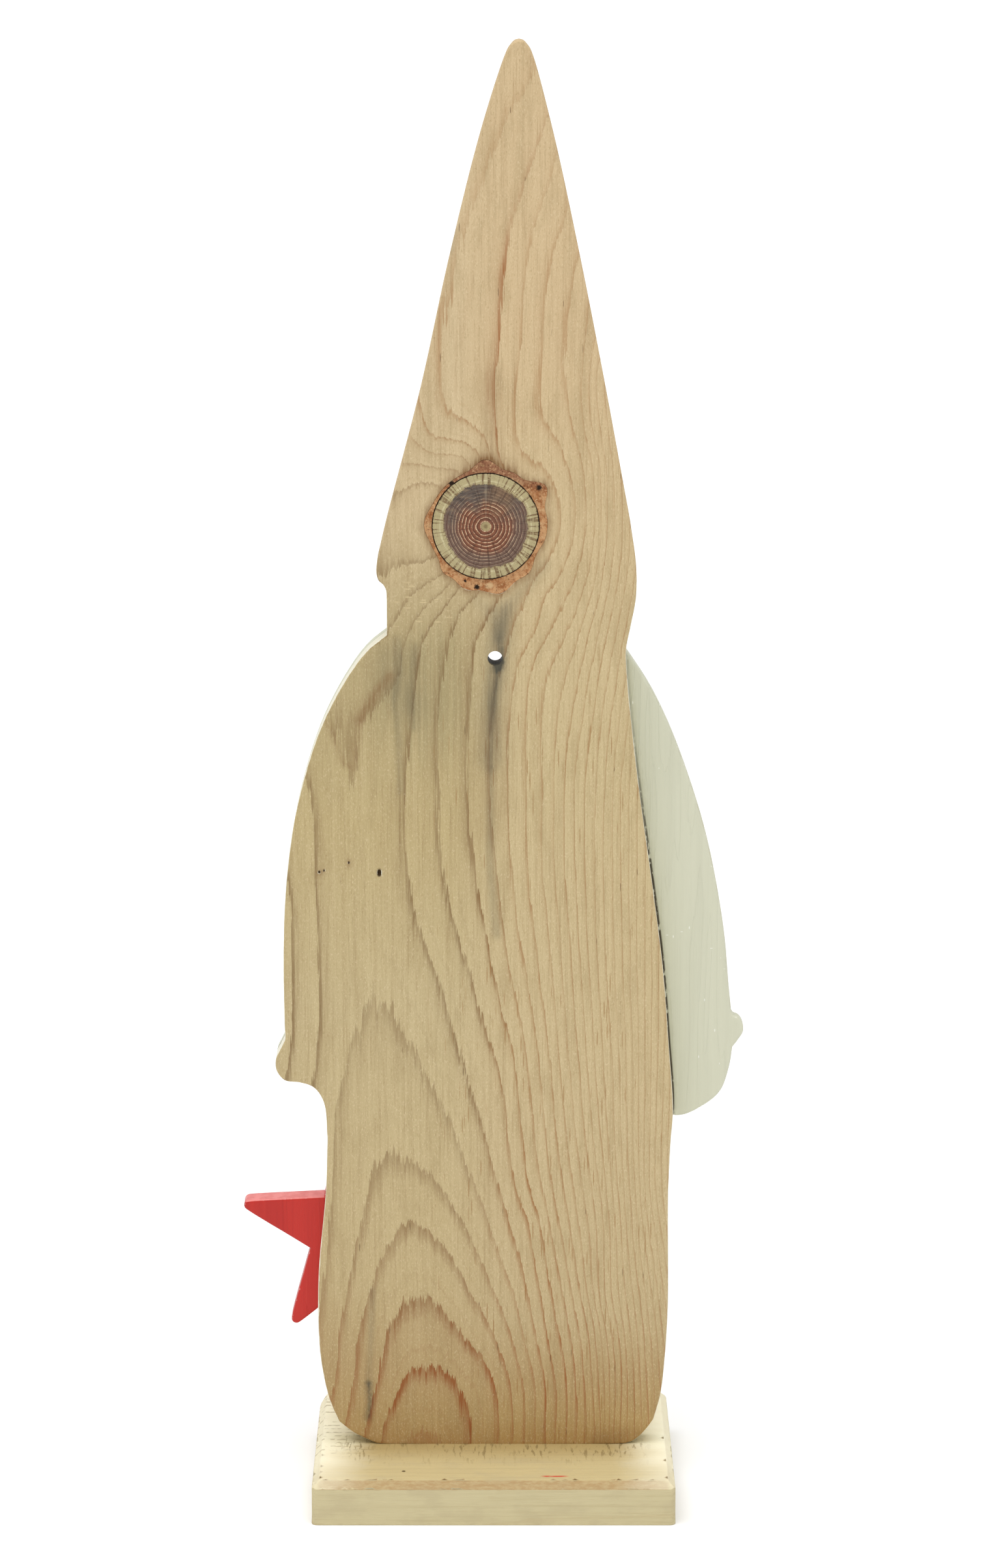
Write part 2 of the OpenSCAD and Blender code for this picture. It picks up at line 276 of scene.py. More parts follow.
def fill(loops, step, extra=()):
    """Triangles over the area bounded by outlines, as (points, faces), the outlines' points first."""
    edge = np.concatenate(loops)
    low, high = edge.min(0), edge.max(0)
    columns = np.arange(low[0], high[0], step)
    rows = np.arange(low[1], high[1], step * 0.87)
    grid = np.stack(np.meshgrid(columns, rows), -1)
    grid[1::2, :, 0] += step / 2
    grid = grid.reshape(-1, 2)
    grid += np.random.default_rng(5).uniform(-0.16, 0.16, grid.shape) * step
    if len(extra):
        grid = np.concatenate([grid[gap_to(extra, grid) > step * 0.5], extra])
    grid = grid[inside(grid, loops)]
    grid = grid[gap_to(edge, grid) > step * 0.45]
    points = np.concatenate([edge, grid])
    chains, start = [], 0
    for loop in loops:
        chains += [(start + i, start + (i + 1) % len(loop)) for i in range(len(loop))]
        start += len(loop)
    made = geometry.delaunay_2d_cdt([Vector(p) for p in points], chains, [], 1, 1e-8)
    origin = [ids[0] if ids else -1 for ids in made[3]]
    faces = np.array([[origin[v] for v in f] for f in made[2]])
    middles = points[faces].mean(1)
    return points, faces[inside(middles, loops)]


class Shell:
    """Vertices and faces gathered from strips and caps, welded into one closed mesh."""

    def __init__(self):
        self.points = []
        self.faces = []

    def strip(self, rows, closed=True):
        """Quads between rows of points, each row a ring unless closed is False."""
        start, width = len(self.points), len(rows[0])
        for row in rows:
            self.points.extend(row)
        for r in range(len(rows) - 1):
            for i in range(width if closed else width - 1):
                a = start + r * width + i
                b = start + r * width + (i + 1) % width
                self.faces.append((a, b, b + width, a + width))

    def cap(self, points, faces):
        start = len(self.points)
        self.points.extend(points)
        self.faces.extend(tuple(int(v) + start for v in f) for f in faces)

    def fan(self, middle, row):
        """Triangles from a middle point out to a closed row of points."""
        count = len(row)
        self.cap(np.concatenate([[middle], row]), [(0, i + 1, (i + 1) % count + 1) for i in range(count)])

    def build(self, name, sharp=0.6):
        mesh = bpy.data.meshes.new(name)
        mesh.from_pydata([tuple(p) for p in self.points], [], self.faces)
        bm = bmesh.new()
        bm.from_mesh(mesh)
        bmesh.ops.remove_doubles(bm, verts=bm.verts, dist=0.000002)
        bmesh.ops.dissolve_degenerate(bm, edges=bm.edges, dist=0.000001)
        bmesh.ops.recalc_face_normals(bm, faces=bm.faces)
        bm.to_mesh(mesh)
        bm.free()
        return finish_mesh(name, mesh, sharp)


def finish_mesh(name, mesh, sharp=0.6):
    mesh.shade_smooth()
    mesh.set_sharp_from_angle(angle=sharp)
    piece = bpy.data.objects.new(name, mesh)
    bpy.context.scene.collection.objects.link(piece)
    return piece


def stand(flat, level):
    """[x, z] points stood up at one level of Y, or at one level for each point."""
    return np.stack([flat[:, 0], np.broadcast_to(level, len(flat)), flat[:, 1]], 1)


def wander(points, scale, seed=0.0):
    """Smooth noise from -1 to 1 at each point, varying over about 1/scale metres."""
    return np.array([noise.noise(Vector(p) * scale + Vector((seed, 0, 0))) for p in points])


def quarter(radius, steps=4):
    """(inset, depth) along a rounded edge, from the flat face to the wall."""
    return [(radius * (1 - math.sin(a)), radius * (1 - math.cos(a)))
            for a in np.linspace(0, math.pi / 2, steps + 1)]


def pair_up(backs, fronts):
    """The outlines found on both faces, then those on the back only and on the front only."""
    def mates(a, others):
        return [b for b in others if np.linalg.norm(a.mean(0) - b.mean(0)) < 0.002
                and np.abs(np.ptp(a, axis=0) - np.ptp(b, axis=0)).max() < 0.004]
    through = [a for a in backs if mates(a, fronts)]
    return through, [a for a in backs if not mates(a, fronts)], [b for b in fronts if not mates(b, backs)]


def plank(name, node, step, front_step, arris=0.7, socket=0.004, back_height=None, front_height=None,
          extra=(), hole_arris=0.25, edge_wave=0.3):
    """A CAD board remade with softened edges, dense faces, and its through holes and peg sockets."""
    low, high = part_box(node)
    back, front = high.y, low.y
    through, back_only, front_only = pair_up(face_loops(node, back), face_loops(node, front))
    shell = Shell()
    caps = {back: [], front: []}
    for loop in through:
        solid = np.cross(loop, np.roll(loop, -1, 0)).sum() > 0
        line = resample(loop, step * (0.75 if solid else 0.4))
        radius = (arris if solid else hole_arris) * MM
        soft = 1 + (edge_wave if solid else 0) * wander(stand(line, 0), 90, 3.0)
        rows = []
        for level, sign in ((back, -1), (front, 1)):
            rounded = [stand(inset(line, soft * i), level + sign * soft * d) for i, d in quarter(radius)]
            rows.append(rounded if sign < 0 else rounded[::-1])
            caps[level].append(rounded[0][:, [0, 2]])
        count = max(2, round((back - front) / (2.2 * MM)))
        walls = [rows[0][-1] + (rows[1][0] - rows[0][-1]) * s for s in np.linspace(0, 1, count + 1)[1:-1]]
        shell.strip(rows[0] + walls + rows[1])
    for level, sign, loops in ((back, -1, back_only), (front, 1, front_only)):
        for loop in loops:
            line = resample(loop, 0.7 * MM)
            caps[level].append(line)
            bottom = level + sign * socket
            shell.strip([stand(line, level), stand(line, level + sign * socket / 2), stand(line, bottom)])
            points, faces = fill([line[::-1]], 1.2 * MM)
            shell.cap(stand(points, bottom), faces)
    faces_made = ((back, step, back_height, extra), (front, front_step, front_height, ()))
    for level, gap, height, spots in faces_made:
        points, faces = fill(caps[level], gap, np.array(spots))
        rise = height(points) if height else np.zeros(len(points))
        rise[:sum(len(c) for c in caps[level])] = 0
        depth = level - rise if level == back else level + rise
        shell.cap(stand(points, depth), faces)
    return shell.build(name)


def store(piece, name, values):
    """Keeps one number, or one colour, for each vertex, for the material to read."""
    values = np.asarray(values, np.float32)
    kind, field = ("FLOAT", "value") if values.ndim == 1 else ("FLOAT_COLOR", "color")
    attribute = piece.data.attributes.new(name, kind, "POINT")
    attribute.data.foreach_set(field, values.ravel())


def spots_of(piece):
    """The piece's vertices as an array of [x, y, z]."""
    points = np.zeros(len(piece.data.vertices) * 3)
    piece.data.vertices.foreach_get("co", points)
    return points.reshape(-1, 3)


def place(piece, slot, material, *nodes):
    """Rides on the one body, stands for its CAD nodes and takes its material."""
    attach(piece, "root")
    if nodes:
        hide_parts(*nodes)
    piece.data.materials.clear()
    piece.data.materials.append(material)
    return piece


# ---------------------------------------------------------------- grain field

def ring_field():
    """A smooth function from [x, z] in metres to the ring number, through every point in RINGS."""
    known = np.array([(x, z, ring) for ring, line in RINGS for x, z in line], float)
    stretch = np.array([1, 0.5]) / 40
    count = len(known)

    def kernel(a, b):
        square = ((a[:, None] - b[None]) ** 2).sum(-1)
        return 0.5 * square * np.log(np.maximum(square, 1e-12))

    at = known[:, :2] * stretch
    system = np.zeros((count + 3, count + 3))
    system[:count, :count] = kernel(at, at) + 0.004 * np.eye(count)
    system[:count, count] = system[count, :count] = 1
    system[:count, count + 1:] = at
    system[count + 1:, :count] = at.T
    weights = np.linalg.solve(system, np.append(known[:, 2], [0, 0, 0]))

    def ring(flat):
        scaled = np.asarray(flat) / MM * stretch
        found = [kernel(part, at) @ weights[:count] + weights[count] + part @ weights[count + 1:]
                 for part in np.array_split(scaled, len(scaled) // 4000 + 1)]
        return np.concatenate(found)
    return ring


ring_at = ring_field()


def near_line(flat, line, width):
    """1 on a line of [x, z] points in mm, falling off smoothly over the width in mm."""
    closest = np.full(len(flat), 1e9)
    here = flat / MM
    for a, b in zip(np.array(line[:-1], float), np.array(line[1:], float)):
        share = np.clip(((here - a) @ (b - a)) / ((b - a) @ (b - a)), 0, 1)
        closest = np.minimum(closest, np.linalg.norm(here - a - share[:, None] * (b - a), axis=1))
    return np.exp(-(closest / width) ** 2)


def bump_at(value, centre, width):
    return np.exp(-((value - centre) / width) ** 2)


# ---------------------------------------------------------------- node graphs

class Graph:
    """A material's nodes, written as expressions. Lengths are millimetres."""

    def __init__(self, name, **shader):
        self.material = bpy.data.materials.new(name)
        self.material.use_nodes = True
        self.tree = self.material.node_tree
        self.shader = self.tree.nodes["Principled BSDF"]
        for key, value in shader.items():
            self.feed(self.shader.inputs[key.replace("_", " ")], value)
        self.place = self.vector("MULTIPLY", self.node("TexCoord").outputs["Object"], (1000, 1000, 1000))
        parts = self.node("SeparateXYZ", {"Vector": self.place})
        self.x, self.y, self.z = parts.outputs
        facing = self.node("SeparateXYZ", {"Vector": self.node("NewGeometry").outputs["Normal"]})
        self.facing_y, self.facing_z = facing.outputs[1], facing.outputs[2]

    def feed(self, socket, value):
        if isinstance(value, bpy.types.NodeSocket):
            self.tree.links.new(value, socket)
        elif isinstance(value, tuple) and len(value) == 3 and socket.type == "RGBA":
            socket.default_value = (*value, 1)
        else:
            socket.default_value = value

    def node(self, kind, inputs=None, **settings):
        made = self.tree.nodes.new("ShaderNode" + kind)
        for key, value in settings.items():
            setattr(made, key, value)
        for key, value in (inputs or {}).items():
            self.feed(made.inputs[key], value)
        return made

    def math(self, operation, a, b=0.0, clamp=False):
        return self.node("Math", {0: a, 1: b}, operation=operation, use_clamp=clamp).outputs[0]

    def vector(self, operation, a, b):
        return self.node("VectorMath", {0: a, 1: b}, operation=operation).outputs[0]

    def add(self, *values):
        return functools.reduce(lambda a, b: self.math("ADD", a, b), values)

    def times(self, *values):
        return functools.reduce(lambda a, b: self.math("MULTIPLY", a, b), values)

    def most(self, *values):
        return functools.reduce(lambda a, b: self.math("MAXIMUM", a, b), values)

    def least(self, *values):
        return functools.reduce(lambda a, b: self.math("MINIMUM", a, b), values)

    def size(self, value):
        return self.math("ABSOLUTE", value)

    def swing(self, value, reach):
        """A value from 0 to 1 turned into one from minus half the reach to plus half."""
        return self.times(self.add(value, -0.5), reach)

    def near(self, x, z, flatten=1.0):
        """Distance in mm from a place on the board, with heights scaled by flatten."""
        across = self.add(self.x, -float(x))
        up = self.times(self.add(self.z, -float(z)), flatten)
        return self.math("SQRT", self.add(self.times(across, across), self.times(up, up)))

    def step(self, value, low, high, start=0.0, end=1.0):
        """Smoothly from start to end as value goes from low to high."""
        inputs = {"Value": value, "From Min": low, "From Max": high, "To Min": start, "To Max": end}
        return self.node("MapRange", inputs, interpolation_type="SMOOTHSTEP").outputs[0]

    def noise(self, across, along=None, detail=3.0, seed=0.0, rough=0.5):
        """Noise that changes over 1/across mm, and over 1/along mm up the grain."""
        scale = (across, across, across if along is None else along)
        spot = self.vector("ADD", self.vector("MULTIPLY", self.place, scale), (seed, seed * 0.7, seed * 1.3))
        inputs = {"Vector": spot, "Scale": 1.0, "Detail": detail, "Roughness": rough}
        return self.node("TexNoise", inputs).outputs[0]

    def noise_at(self, x, y, z=0.0, detail=2.0):
        """Noise at a spot given by three values, such as a radius and a turn."""
        spot = self.node("CombineXYZ", {0: x, 1: y, 2: z}).outputs[0]
        return self.node("TexNoise", {"Vector": spot, "Scale": 1.0, "Detail": detail}).outputs[0]

    def specks(self, across, along, size, share, seed=0.0):
        """1 in small spots: one in a stretched cell, in that share of the cells."""
        spot = self.vector("ADD", self.vector("MULTIPLY", self.place, (across, across, along)), (seed,) * 3)
        cells = self.node("TexVoronoi", {"Vector": spot, "Scale": 1.0})
        lot = self.node("SeparateXYZ", {"Vector": cells.outputs["Color"]}).outputs[0]
        return self.times(self.step(cells.outputs["Distance"], size * 0.6, size, 1, 0),
                          self.step(lot, share, share + 0.02, 1, 0))

    def mix(self, a, b, factor):
        return self.node("Mix", {0: factor, 6: a, 7: b}, data_type="RGBA").outputs[2]

    def layers(self, colour, *coats):
        """The colour with coats laid over it in turn, each (colour as 0 to 255, how much of it)."""
        for paint, amount in coats:
            colour = self.mix(colour, srgb(*paint), amount)
        return colour

    def ramp(self, value, stops):
        made = self.node("ValToRGB", {"Fac": value})
        ramp = made.color_ramp
        while len(ramp.elements) < len(stops):
            ramp.elements.new(0.5)
        for element, (at, colour) in zip(ramp.elements, stops):
            element.position = at
            element.color = (*srgb(*colour), 1)
        return made.outputs[0]

    def attribute(self, name):
        return self.node("Attribute", attribute_name=name).outputs["Fac"]

    def finish(self, colour, height=None, depth=0.1, roughness=None):
        """Feeds the shader. The height's unit is depth millimetres."""
        self.feed(self.shader.inputs["Base Color"], colour)
        if roughness is not None:
            self.feed(self.shader.inputs["Roughness"], roughness)
        if height is not None:
            inputs = {"Strength": 1.0, "Distance": depth * MM, "Height": height}
            bumped = self.node("Bump", inputs)
            self.feed(self.shader.inputs["Normal"], bumped.outputs[0])
        return self.material


def srgb(r, g, b):
    """A colour given as 0 to 255, as the linear colour that the nodes use."""
    return tuple(c / 12.92 if c <= 0.04045 else ((c + 0.055) / 1.055) ** 2.4
                 for c in (r / 255, g / 255, b / 255))


def latewood(g, phase, width=0.4, sharpness=2.0):
    """(dark band, random number of the ring): the band ends sharply on the ring's outer side."""
    part = g.math("FRACT", phase)
    lot = g.node("TexWhiteNoise", {"W": g.math("FLOOR", phase)}, noise_dimensions="1D").outputs["Value"]
    rise = g.math("POWER", g.step(part, 1 - width, 0.97), sharpness)
    return g.times(rise, g.step(part, 0.985, 1.0, 1, 0)), lot


def early_colour(g):
    """The pale wood between the rings: one run of colours up each side of the board."""
    level = g.node("MapRange", {"Value": g.z, "From Min": 15.0, "From Max": 502.0}).outputs[0]
    right = g.ramp(level, [
        (0.0, (182, 146, 88)), (0.02, (184, 156, 104)), (0.055, (182, 157, 112)), (0.095, (195, 175, 133)),
        (0.25, (200, 180, 138)), (0.50, (201, 182, 138)), (0.58, (202, 182, 139)), (0.8, (208, 183, 142)),
        (1.0, (208, 183, 142))])
    left = g.ramp(level, [
        (0.0, (182, 146, 92)), (0.02, (180, 152, 102)), (0.06, (180, 155, 110)), (0.12, (192, 172, 128)),
        (0.33, (196, 178, 135)), (0.46, (190, 171, 124)), (0.585, (178, 161, 118)),
        (0.68, (204, 182, 142)), (1.0, (208, 185, 146))])
    return g.mix(right, left, g.step(g.add(g.x, g.times(g.noise(0.05, 0.01, 2, 33.0), 20.0)), 4, 26))


def early_wood(g, streak, hair, broad):
    """The pale wood with its fibres, flecks and blotches, and a green cast below the knot."""
    mottle = g.noise(0.16, 0.05, 4, 14.0, 0.6)
    pale_fleck = g.noise(2.6, 1.1, 2, 44.0, 0.7)
    dark_fleck = g.noise(2.9, 0.9, 2, 46.0, 0.7)
    green = g.step(g.add(g.near(24, 282, 0.8), g.swing(broad, 22.0)), 24.0, 6.0)
    green = g.times(green, g.step(streak, 0.35, 0.6, 0.35, 1.0))
    return g.layers(
        early_colour(g),
        ((150, 122, 80), g.step(streak, 0.45, 0.72, 0, 0.20)),
        ((226, 206, 166), g.step(streak, 0.5, 0.28, 0, 0.12)),
        ((142, 112, 68), g.step(hair, 0.52, 0.72, 0, 0.30)),
        ((160, 138, 96), g.step(mottle, 0.48, 0.68, 0, 0.22)),
        ((236, 218, 180), g.step(pale_fleck, 0.52, 0.72, 0, 0.32)),
        ((156, 128, 82), g.step(dark_fleck, 0.54, 0.74, 0, 0.40)),
        ((136, 128, 92), g.times(green, 0.32)))


def ringed_wood(g, strength, warm, fine, streak, hair):
    """(colour, dark band) of early and late wood, from the ring number stored on the board."""
    broad = g.noise(0.4, 0.015, 2, 4.0)
    teeth = g.noise(3.2, 0.14, 2, 9.0)
    phase = g.add(g.attribute("ring"), g.swing(fine, 0.30), g.swing(broad, 0.22), g.swing(teeth, 0.16))
    band, lot = latewood(g, phase, 0.42, g.step(g.z, 90, 170, 1.6, 3.4))
    faint, _ = latewood(g, g.add(g.times(phase, 2.0), 0.37), 0.3)
    late = g.layers(
        srgb(150, 102, 50),
        ((116, 92, 54), g.step(g.x, -12, 12)),
        ((160, 112, 62), g.step(g.z, 340, 385)),
        ((154, 92, 48), warm))
    patchy = g.step(g.noise(0.8, 0.025, 3, 20.0, 0.6), 0.3, 0.62, 0.5, 1.12)
    amount = g.times(strength, patchy, g.add(0.8, g.times(lot, 0.35)))
    soft = g.times(g.step(g.math("FRACT", phase), 0.2, 0.95, 0, 0.16), strength)
    dark = g.most(soft, g.least(g.times(band, amount), 1.0))
    colour = g.mix(early_wood(g, streak, hair, broad), late, dark)
    return g.mix(colour, late, g.times(faint, strength, 0.16)), band


def wood_marks(g, colour, band, fine):
    """(colour, pores, torn grain) with dashes and flecks, and the torn patch beside the knot."""
    pores = g.step(g.add(band, g.noise(0.06, 0.02, 2, 30.0)), 0.45, 1.0)
    pores = g.times(pores, g.specks(1.25, 0.09, 0.17, 0.2, 3.0))
    dashes = g.most(g.specks(0.95, 0.06, 0.24, 0.3, 5.0), g.specks(0.8, 0.045, 0.2, 0.25, 13.0))
    dashes = g.times(dashes, g.step(g.z, 330, 270), g.step(g.x, 32, 4, 0.1, 1.0))
    torn = g.times(g.step(g.near(24, 313), 15.0, 6.0), g.specks(0.22, 0.85, 0.34, 0.5, 21.0))
    colour = g.layers(
        colour,
        ((96, 70, 40), g.times(pores, 0.7)),
        ((152, 110, 60), g.times(dashes, g.step(fine, 0.35, 0.55, 0.2, 0.6))),
        ((232, 215, 178), g.times(g.specks(0.6, 0.5, 0.2, 0.12, 8.0), 0.18)),
        ((226, 205, 158), g.times(torn, 0.4)))
    return colour, pores, torn


def stained(g, colour, grey, brown):
    """Grey and brown stains, ragged along the grain, with the grey also painting shade inside the hang hole,
    and the dark of the worm holes.
    """
    ragged = g.step(g.noise(1.1, 0.05, 4, 15.0, 0.65), 0.3, 0.64, 0.45, 1.2)
    smoky = g.step(g.noise(0.7, 0.06, 3, 17.0), 0.3, 0.66, 0.75, 1.15)
    holes = [((66, 46, 24), g.step(g.near(x, z, width / tall), width * 1.2, width * 0.7))
             for x, z, width, tall in PIT_MARKS]
    return g.layers(
        colour,
        ((66, 66, 56), g.least(g.times(grey, smoky), 0.95)),
        ((128, 92, 54), g.least(g.times(brown, ragged), 0.95)),
        *holes)


def board_wood(g):
    """(colour, height) of the bare pine: rings, fibres, stains, painted shade inside the hang hole, and
    pores.
    """
    tint = g.node("Attribute", attribute_name="tint")
    strength, warm, grey = g.node("SeparateXYZ", {"Vector": tint.outputs["Color"]}).outputs
    fine = g.noise(1.5, 0.04, 3, 1.0)
    streak = g.noise(1.1, 0.015, 4, 2.0, 0.6)
    hair = g.noise(2.3, 0.06, 3, 6.0, 0.65)
    colour, band = ringed_wood(g, strength, warm, fine, streak, hair)
    colour, pores, torn = wood_marks(g, colour, band, fine)
    colour = stained(g, colour, grey, tint.outputs["Alpha"])
    height = g.add(g.times(band, 0.4), g.times(hair, 0.35), g.times(streak, 0.35), g.times(pores, -0.9),
                   g.times(torn, 1.2))
    return colour, height


def coat(g, base, paint, mask, seed):
    """(colour, height) of thin brushed paint over wood, where the mask is 1."""
    brush = g.noise(1.7, 0.03, 4, seed, 0.6)
    lean = g.mix(srgb(*paint), base, g.step(brush, 0.55, 0.85, 0.0, 0.4))
    worn = g.step(g.noise(0.55, 0.2, 4, seed + 5), 0.48, 0.62)
    rubbed = g.times(g.step(g.attribute("edge"), 0.25, 0.9), worn)
    lean = g.mix(lean, base, g.times(rubbed, 0.7))
    return g.mix(base, lean, mask), g.times(brush, 0.6)


# ---------------------------------------------------------------- materials

def board_material():
    """Bare pine behind and round the hat, a red hat front, a natural face and an off-white coat."""
    g = Graph("board_pine", Roughness=0.58, Specular_IOR_Level=0.28)
    wood, height = board_wood(g)
    brim = BRIM_Z / MM
    middle = g.add(g.x, 4.0)
    wave = g.swing(g.noise(0.8, 0.3, 3, 40.0), 1.0)
    front = g.step(g.add(g.facing_y, g.times(wave, 0.25)), -0.35, -0.55)
    spill = g.times(g.step(g.x, 31, 34), g.step(g.z, 48, 56), g.step(g.z, 104, 98), 0.22)
    spill = g.add(spill, g.times(wave, 0.7))
    wall = g.step(g.add(g.facing_y, g.times(spill, -1.0)), 0.62, 0.48)
    below = g.step(g.z, brim + 0.4, brim - 0.4)
    bow = g.times(g.math("POWER", g.times(middle, 0.1), 2.0), 0.25)
    hat = g.times(front, g.step(g.add(g.z, bow), brim + 2.2, brim + 3.0))
    face = g.times(g.step(g.size(middle), 26.0, 25.2), g.step(g.z, 291.0, 292.0), front)
    bore = g.step(g.near(HOLE.x / MM, HOLE.z / MM), 5.0, 4.0)
    white = g.math("SUBTRACT", g.times(g.most(wall, front), below), g.most(face, bore), True)
    colour, brush = coat(g, wood, (232, 227, 204), white, 50.0)
    colour, _ = coat(g, colour, HAT_RED, hat, 55.0)
    painted = g.add(white, hat)
    height = g.add(g.times(height, 0.6), g.times(brush, painted))
    rough = g.mix((0.6,) * 3, (0.42,) * 3, painted)
    return g.finish(colour, height, 0.12, rough)


def painted_wood(name, paint, wood, tone, seed, roughness, grain, wear=0.7, upward_sheen=None):
    """Thin paint that follows the grain, rubbed through on the edges, with painted shade where it meets a
    board's edge and, when given a colour for it, a painted highlight where it faces up.
    """
    g = Graph(name, Roughness=roughness, Specular_IOR_Level=0.35)
    streak = g.noise(0.75, 0.011, 4, seed, 0.6)
    hair = g.noise(4.0, 0.05, 2, seed + 3, 0.6)
    ripple = g.add(g.times(g.noise(0.09, 0.006, 2, seed + 7), 9.0), g.times(streak, 0.5))
    band, lot = latewood(g, ripple, 0.3)
    edge = g.attribute("edge")
    thin = g.times(g.step(edge, 0.3, 0.95), g.step(g.noise(0.5, 0.18, 4, seed + 5), 0.5, 0.64))
    shading = g.step(g.noise(0.16, 0.010, 2, seed + 11), 0.40, 0.62)
    scratch = g.most(g.specks(0.55, 0.2, 0.13, 0.10, seed), g.specks(0.2, 0.6, 0.12, 0.10, seed + 1))
    flecks = g.times(g.specks(0.8, 0.8, 0.34, 0.35, seed + 2), g.step(edge, 0.1, 0.5))
    broken = g.step(g.noise(0.9, 0.35, 3, seed + 9), 0.34, 0.44)
    # Painted shade: a dark line on the arm along the body board's edge, where the two meet.
    seam_shade = g.times(g.attribute("seam_shade"), broken, g.step(g.z, 285, 215, 0.1, 1.0))
    colour = g.layers(
        srgb(*paint),
        (tone, g.times(g.step(streak, 0.42, 0.75), grain)),
        (tone, g.times(band, g.add(lot, 0.2), grain * 0.5)),
        (wood, g.times(g.step(hair, 0.6, 0.8), grain * 0.5)),
        (wood, g.times(thin, wear)),
        (tone, g.times(shading, grain * 0.9)))
    colour = g.mix(colour, (1, 1, 0.97), g.times(scratch, 0.5))
    colour = g.mix(colour, (1, 1, 0.95), g.times(flecks, 0.2))
    colour = g.layers(colour, ((62, 50, 30), g.times(seam_shade, 0.95)))
    # Painted highlight: faces turned up are made paler, a painted sheen of the overhead light.
    if upward_sheen:
        stripe = g.step(g.noise(0.3, 0.3, 2, seed + 4), 0.35, 0.65, 0.75, 1.0)
        colour = g.layers(colour, (upward_sheen, g.times(g.step(g.facing_z, 0.35, 0.85), stripe)))
    height = g.add(g.times(streak, 0.7), g.times(hair, 0.3), g.times(band, 0.4))
    return g.finish(colour, height, 0.12)


def plinth_marks(g, upward, mottle):
    """The plinth's marks in order, each as its amount: slope, dash, painted shade at the board's foot,
    painted light on the top's ends, saw, smear and speck.
    """
    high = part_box("plinth")[1]
    end, back = high.x / MM, high.y / MM
    out = g.size(g.x)
    slope = g.times(g.step(g.facing_z, 0.25, 0.45), g.step(g.facing_z, 0.96, 0.86))
    slope = g.times(slope, g.step(out, end - 1.5, end - 3.5))
    slope = g.times(slope, g.step(g.noise(0.9, 0.35, 4, 14.0, 0.7), 0.34, 0.62, 0.6, 1.0))
    dash = g.times(g.step(g.noise(0.13, 0.85, 3, 26.0, 0.6), 0.53, 0.64), g.step(g.y, back - 13, back - 32))
    dash = g.times(dash, g.step(g.noise(0.05, 0.10, 2, 41.0), 0.42, 0.55, 0.25, 1.0), upward)
    dash = g.times(dash, g.step(out, end - 6, end - 14))
    # Painted shade on the plinth's top round the board's foot.
    foot_shade = g.times(g.step(g.y, back - 16, back - 36), g.step(out, 52, 44), upward)
    # Painted light: the ends of the plinth's top, away from the board, turned nearly white.
    end_light = g.step(g.add(out, g.times(mottle, 10.0)), end - 18, end + 6)
    end_light = g.times(end_light, g.step(g.y, 40, 20, 0.6, 1.0), upward)
    saw = g.step(g.math("SINE", g.times(g.y, 1.9)), 0.2, 0.8)
    saw = g.times(saw, g.step(g.noise(0.4, 0.35, 2, 6.0), 0.5, 0.6))
    saw = g.times(saw, g.step(g.x, 38, 46), g.step(g.y, back - 24, back - 32))
    smear = g.step(g.size(g.add(g.x, 21.0)), 2.5, 5.5, 1, 0)
    smear = g.times(smear, g.step(g.size(g.add(g.y, 6.3 - back)), 0.25, 0.9, 1, 0))
    smear = g.times(smear, g.step(g.noise(0.7, 0.3, 3, 19.0), 0.3, 0.5, 0.5, 1.0))
    across, along = g.add(g.x, -31.0), g.add(g.y, 11.0 - back)
    dot = g.math("SQRT", g.add(g.times(across, across), g.times(along, along)))
    return slope, dash, foot_shade, end_light, saw, smear, g.times(g.step(dot, 0.9, 0.4), upward)


def plinth_material():
    """Pale sawn pine lying across, toasted along the sawn chamfer, with one stray smear of red, and painted
    shade and light on its top.
    """
    g = Graph("plinth_pine", Roughness=0.6, Specular_IOR_Level=0.25)
    g.place = g.node("CombineXYZ", {0: g.z, 1: g.y, 2: g.x}).outputs[0]
    streak = g.noise(0.8, 0.02, 4, 3.0, 0.6)
    hair = g.noise(3.0, 0.12, 3, 5.0, 0.6)
    mottle = g.noise(0.12, 0.06, 4, 8.0, 0.6)
    ripple = g.add(g.times(g.y, 0.05), g.times(g.z, 0.12), g.times(g.noise(0.04, 0.005, 2, 8.0), 3.0))
    band, lot = latewood(g, g.add(ripple, g.times(streak, 0.4)), 0.5)
    upward = g.step(g.facing_z, 0.3, 0.9)
    slope, dash, foot_shade, end_light, saw, smear, speck = plinth_marks(g, upward, mottle)
    colour = g.layers(
        srgb(204, 192, 152),
        # The top face's own darker, yellower colour is painted shade.
        ((202, 185, 138), upward),
        ((176, 160, 118), g.step(streak, 0.44, 0.74, 0, 0.35)),
        ((186, 172, 136), g.step(mottle, 0.46, 0.66, 0, 0.4)),
        ((172, 142, 94), g.times(band, lot, 0.16)),
        ((170, 146, 104), g.step(hair, 0.55, 0.75, 0, 0.25)),
        ((166, 130, 82), g.times(slope, 0.75)),
        # Painted shade round the board's foot.
        ((172, 148, 94), g.times(foot_shade, 0.75)),
        # Painted light on the top's ends.
        ((248, 241, 212), end_light),
        ((134, 114, 72), g.times(dash, 0.75)),
        ((150, 130, 88), g.times(saw, 0.5)),
        ((200, 50, 40), g.times(smear, 0.9)),
        ((90, 70, 44), speck))
    height = g.add(g.times(streak, 0.8), g.times(hair, 0.5), g.times(dash, -0.6))
    return g.finish(colour, height, 0.15)


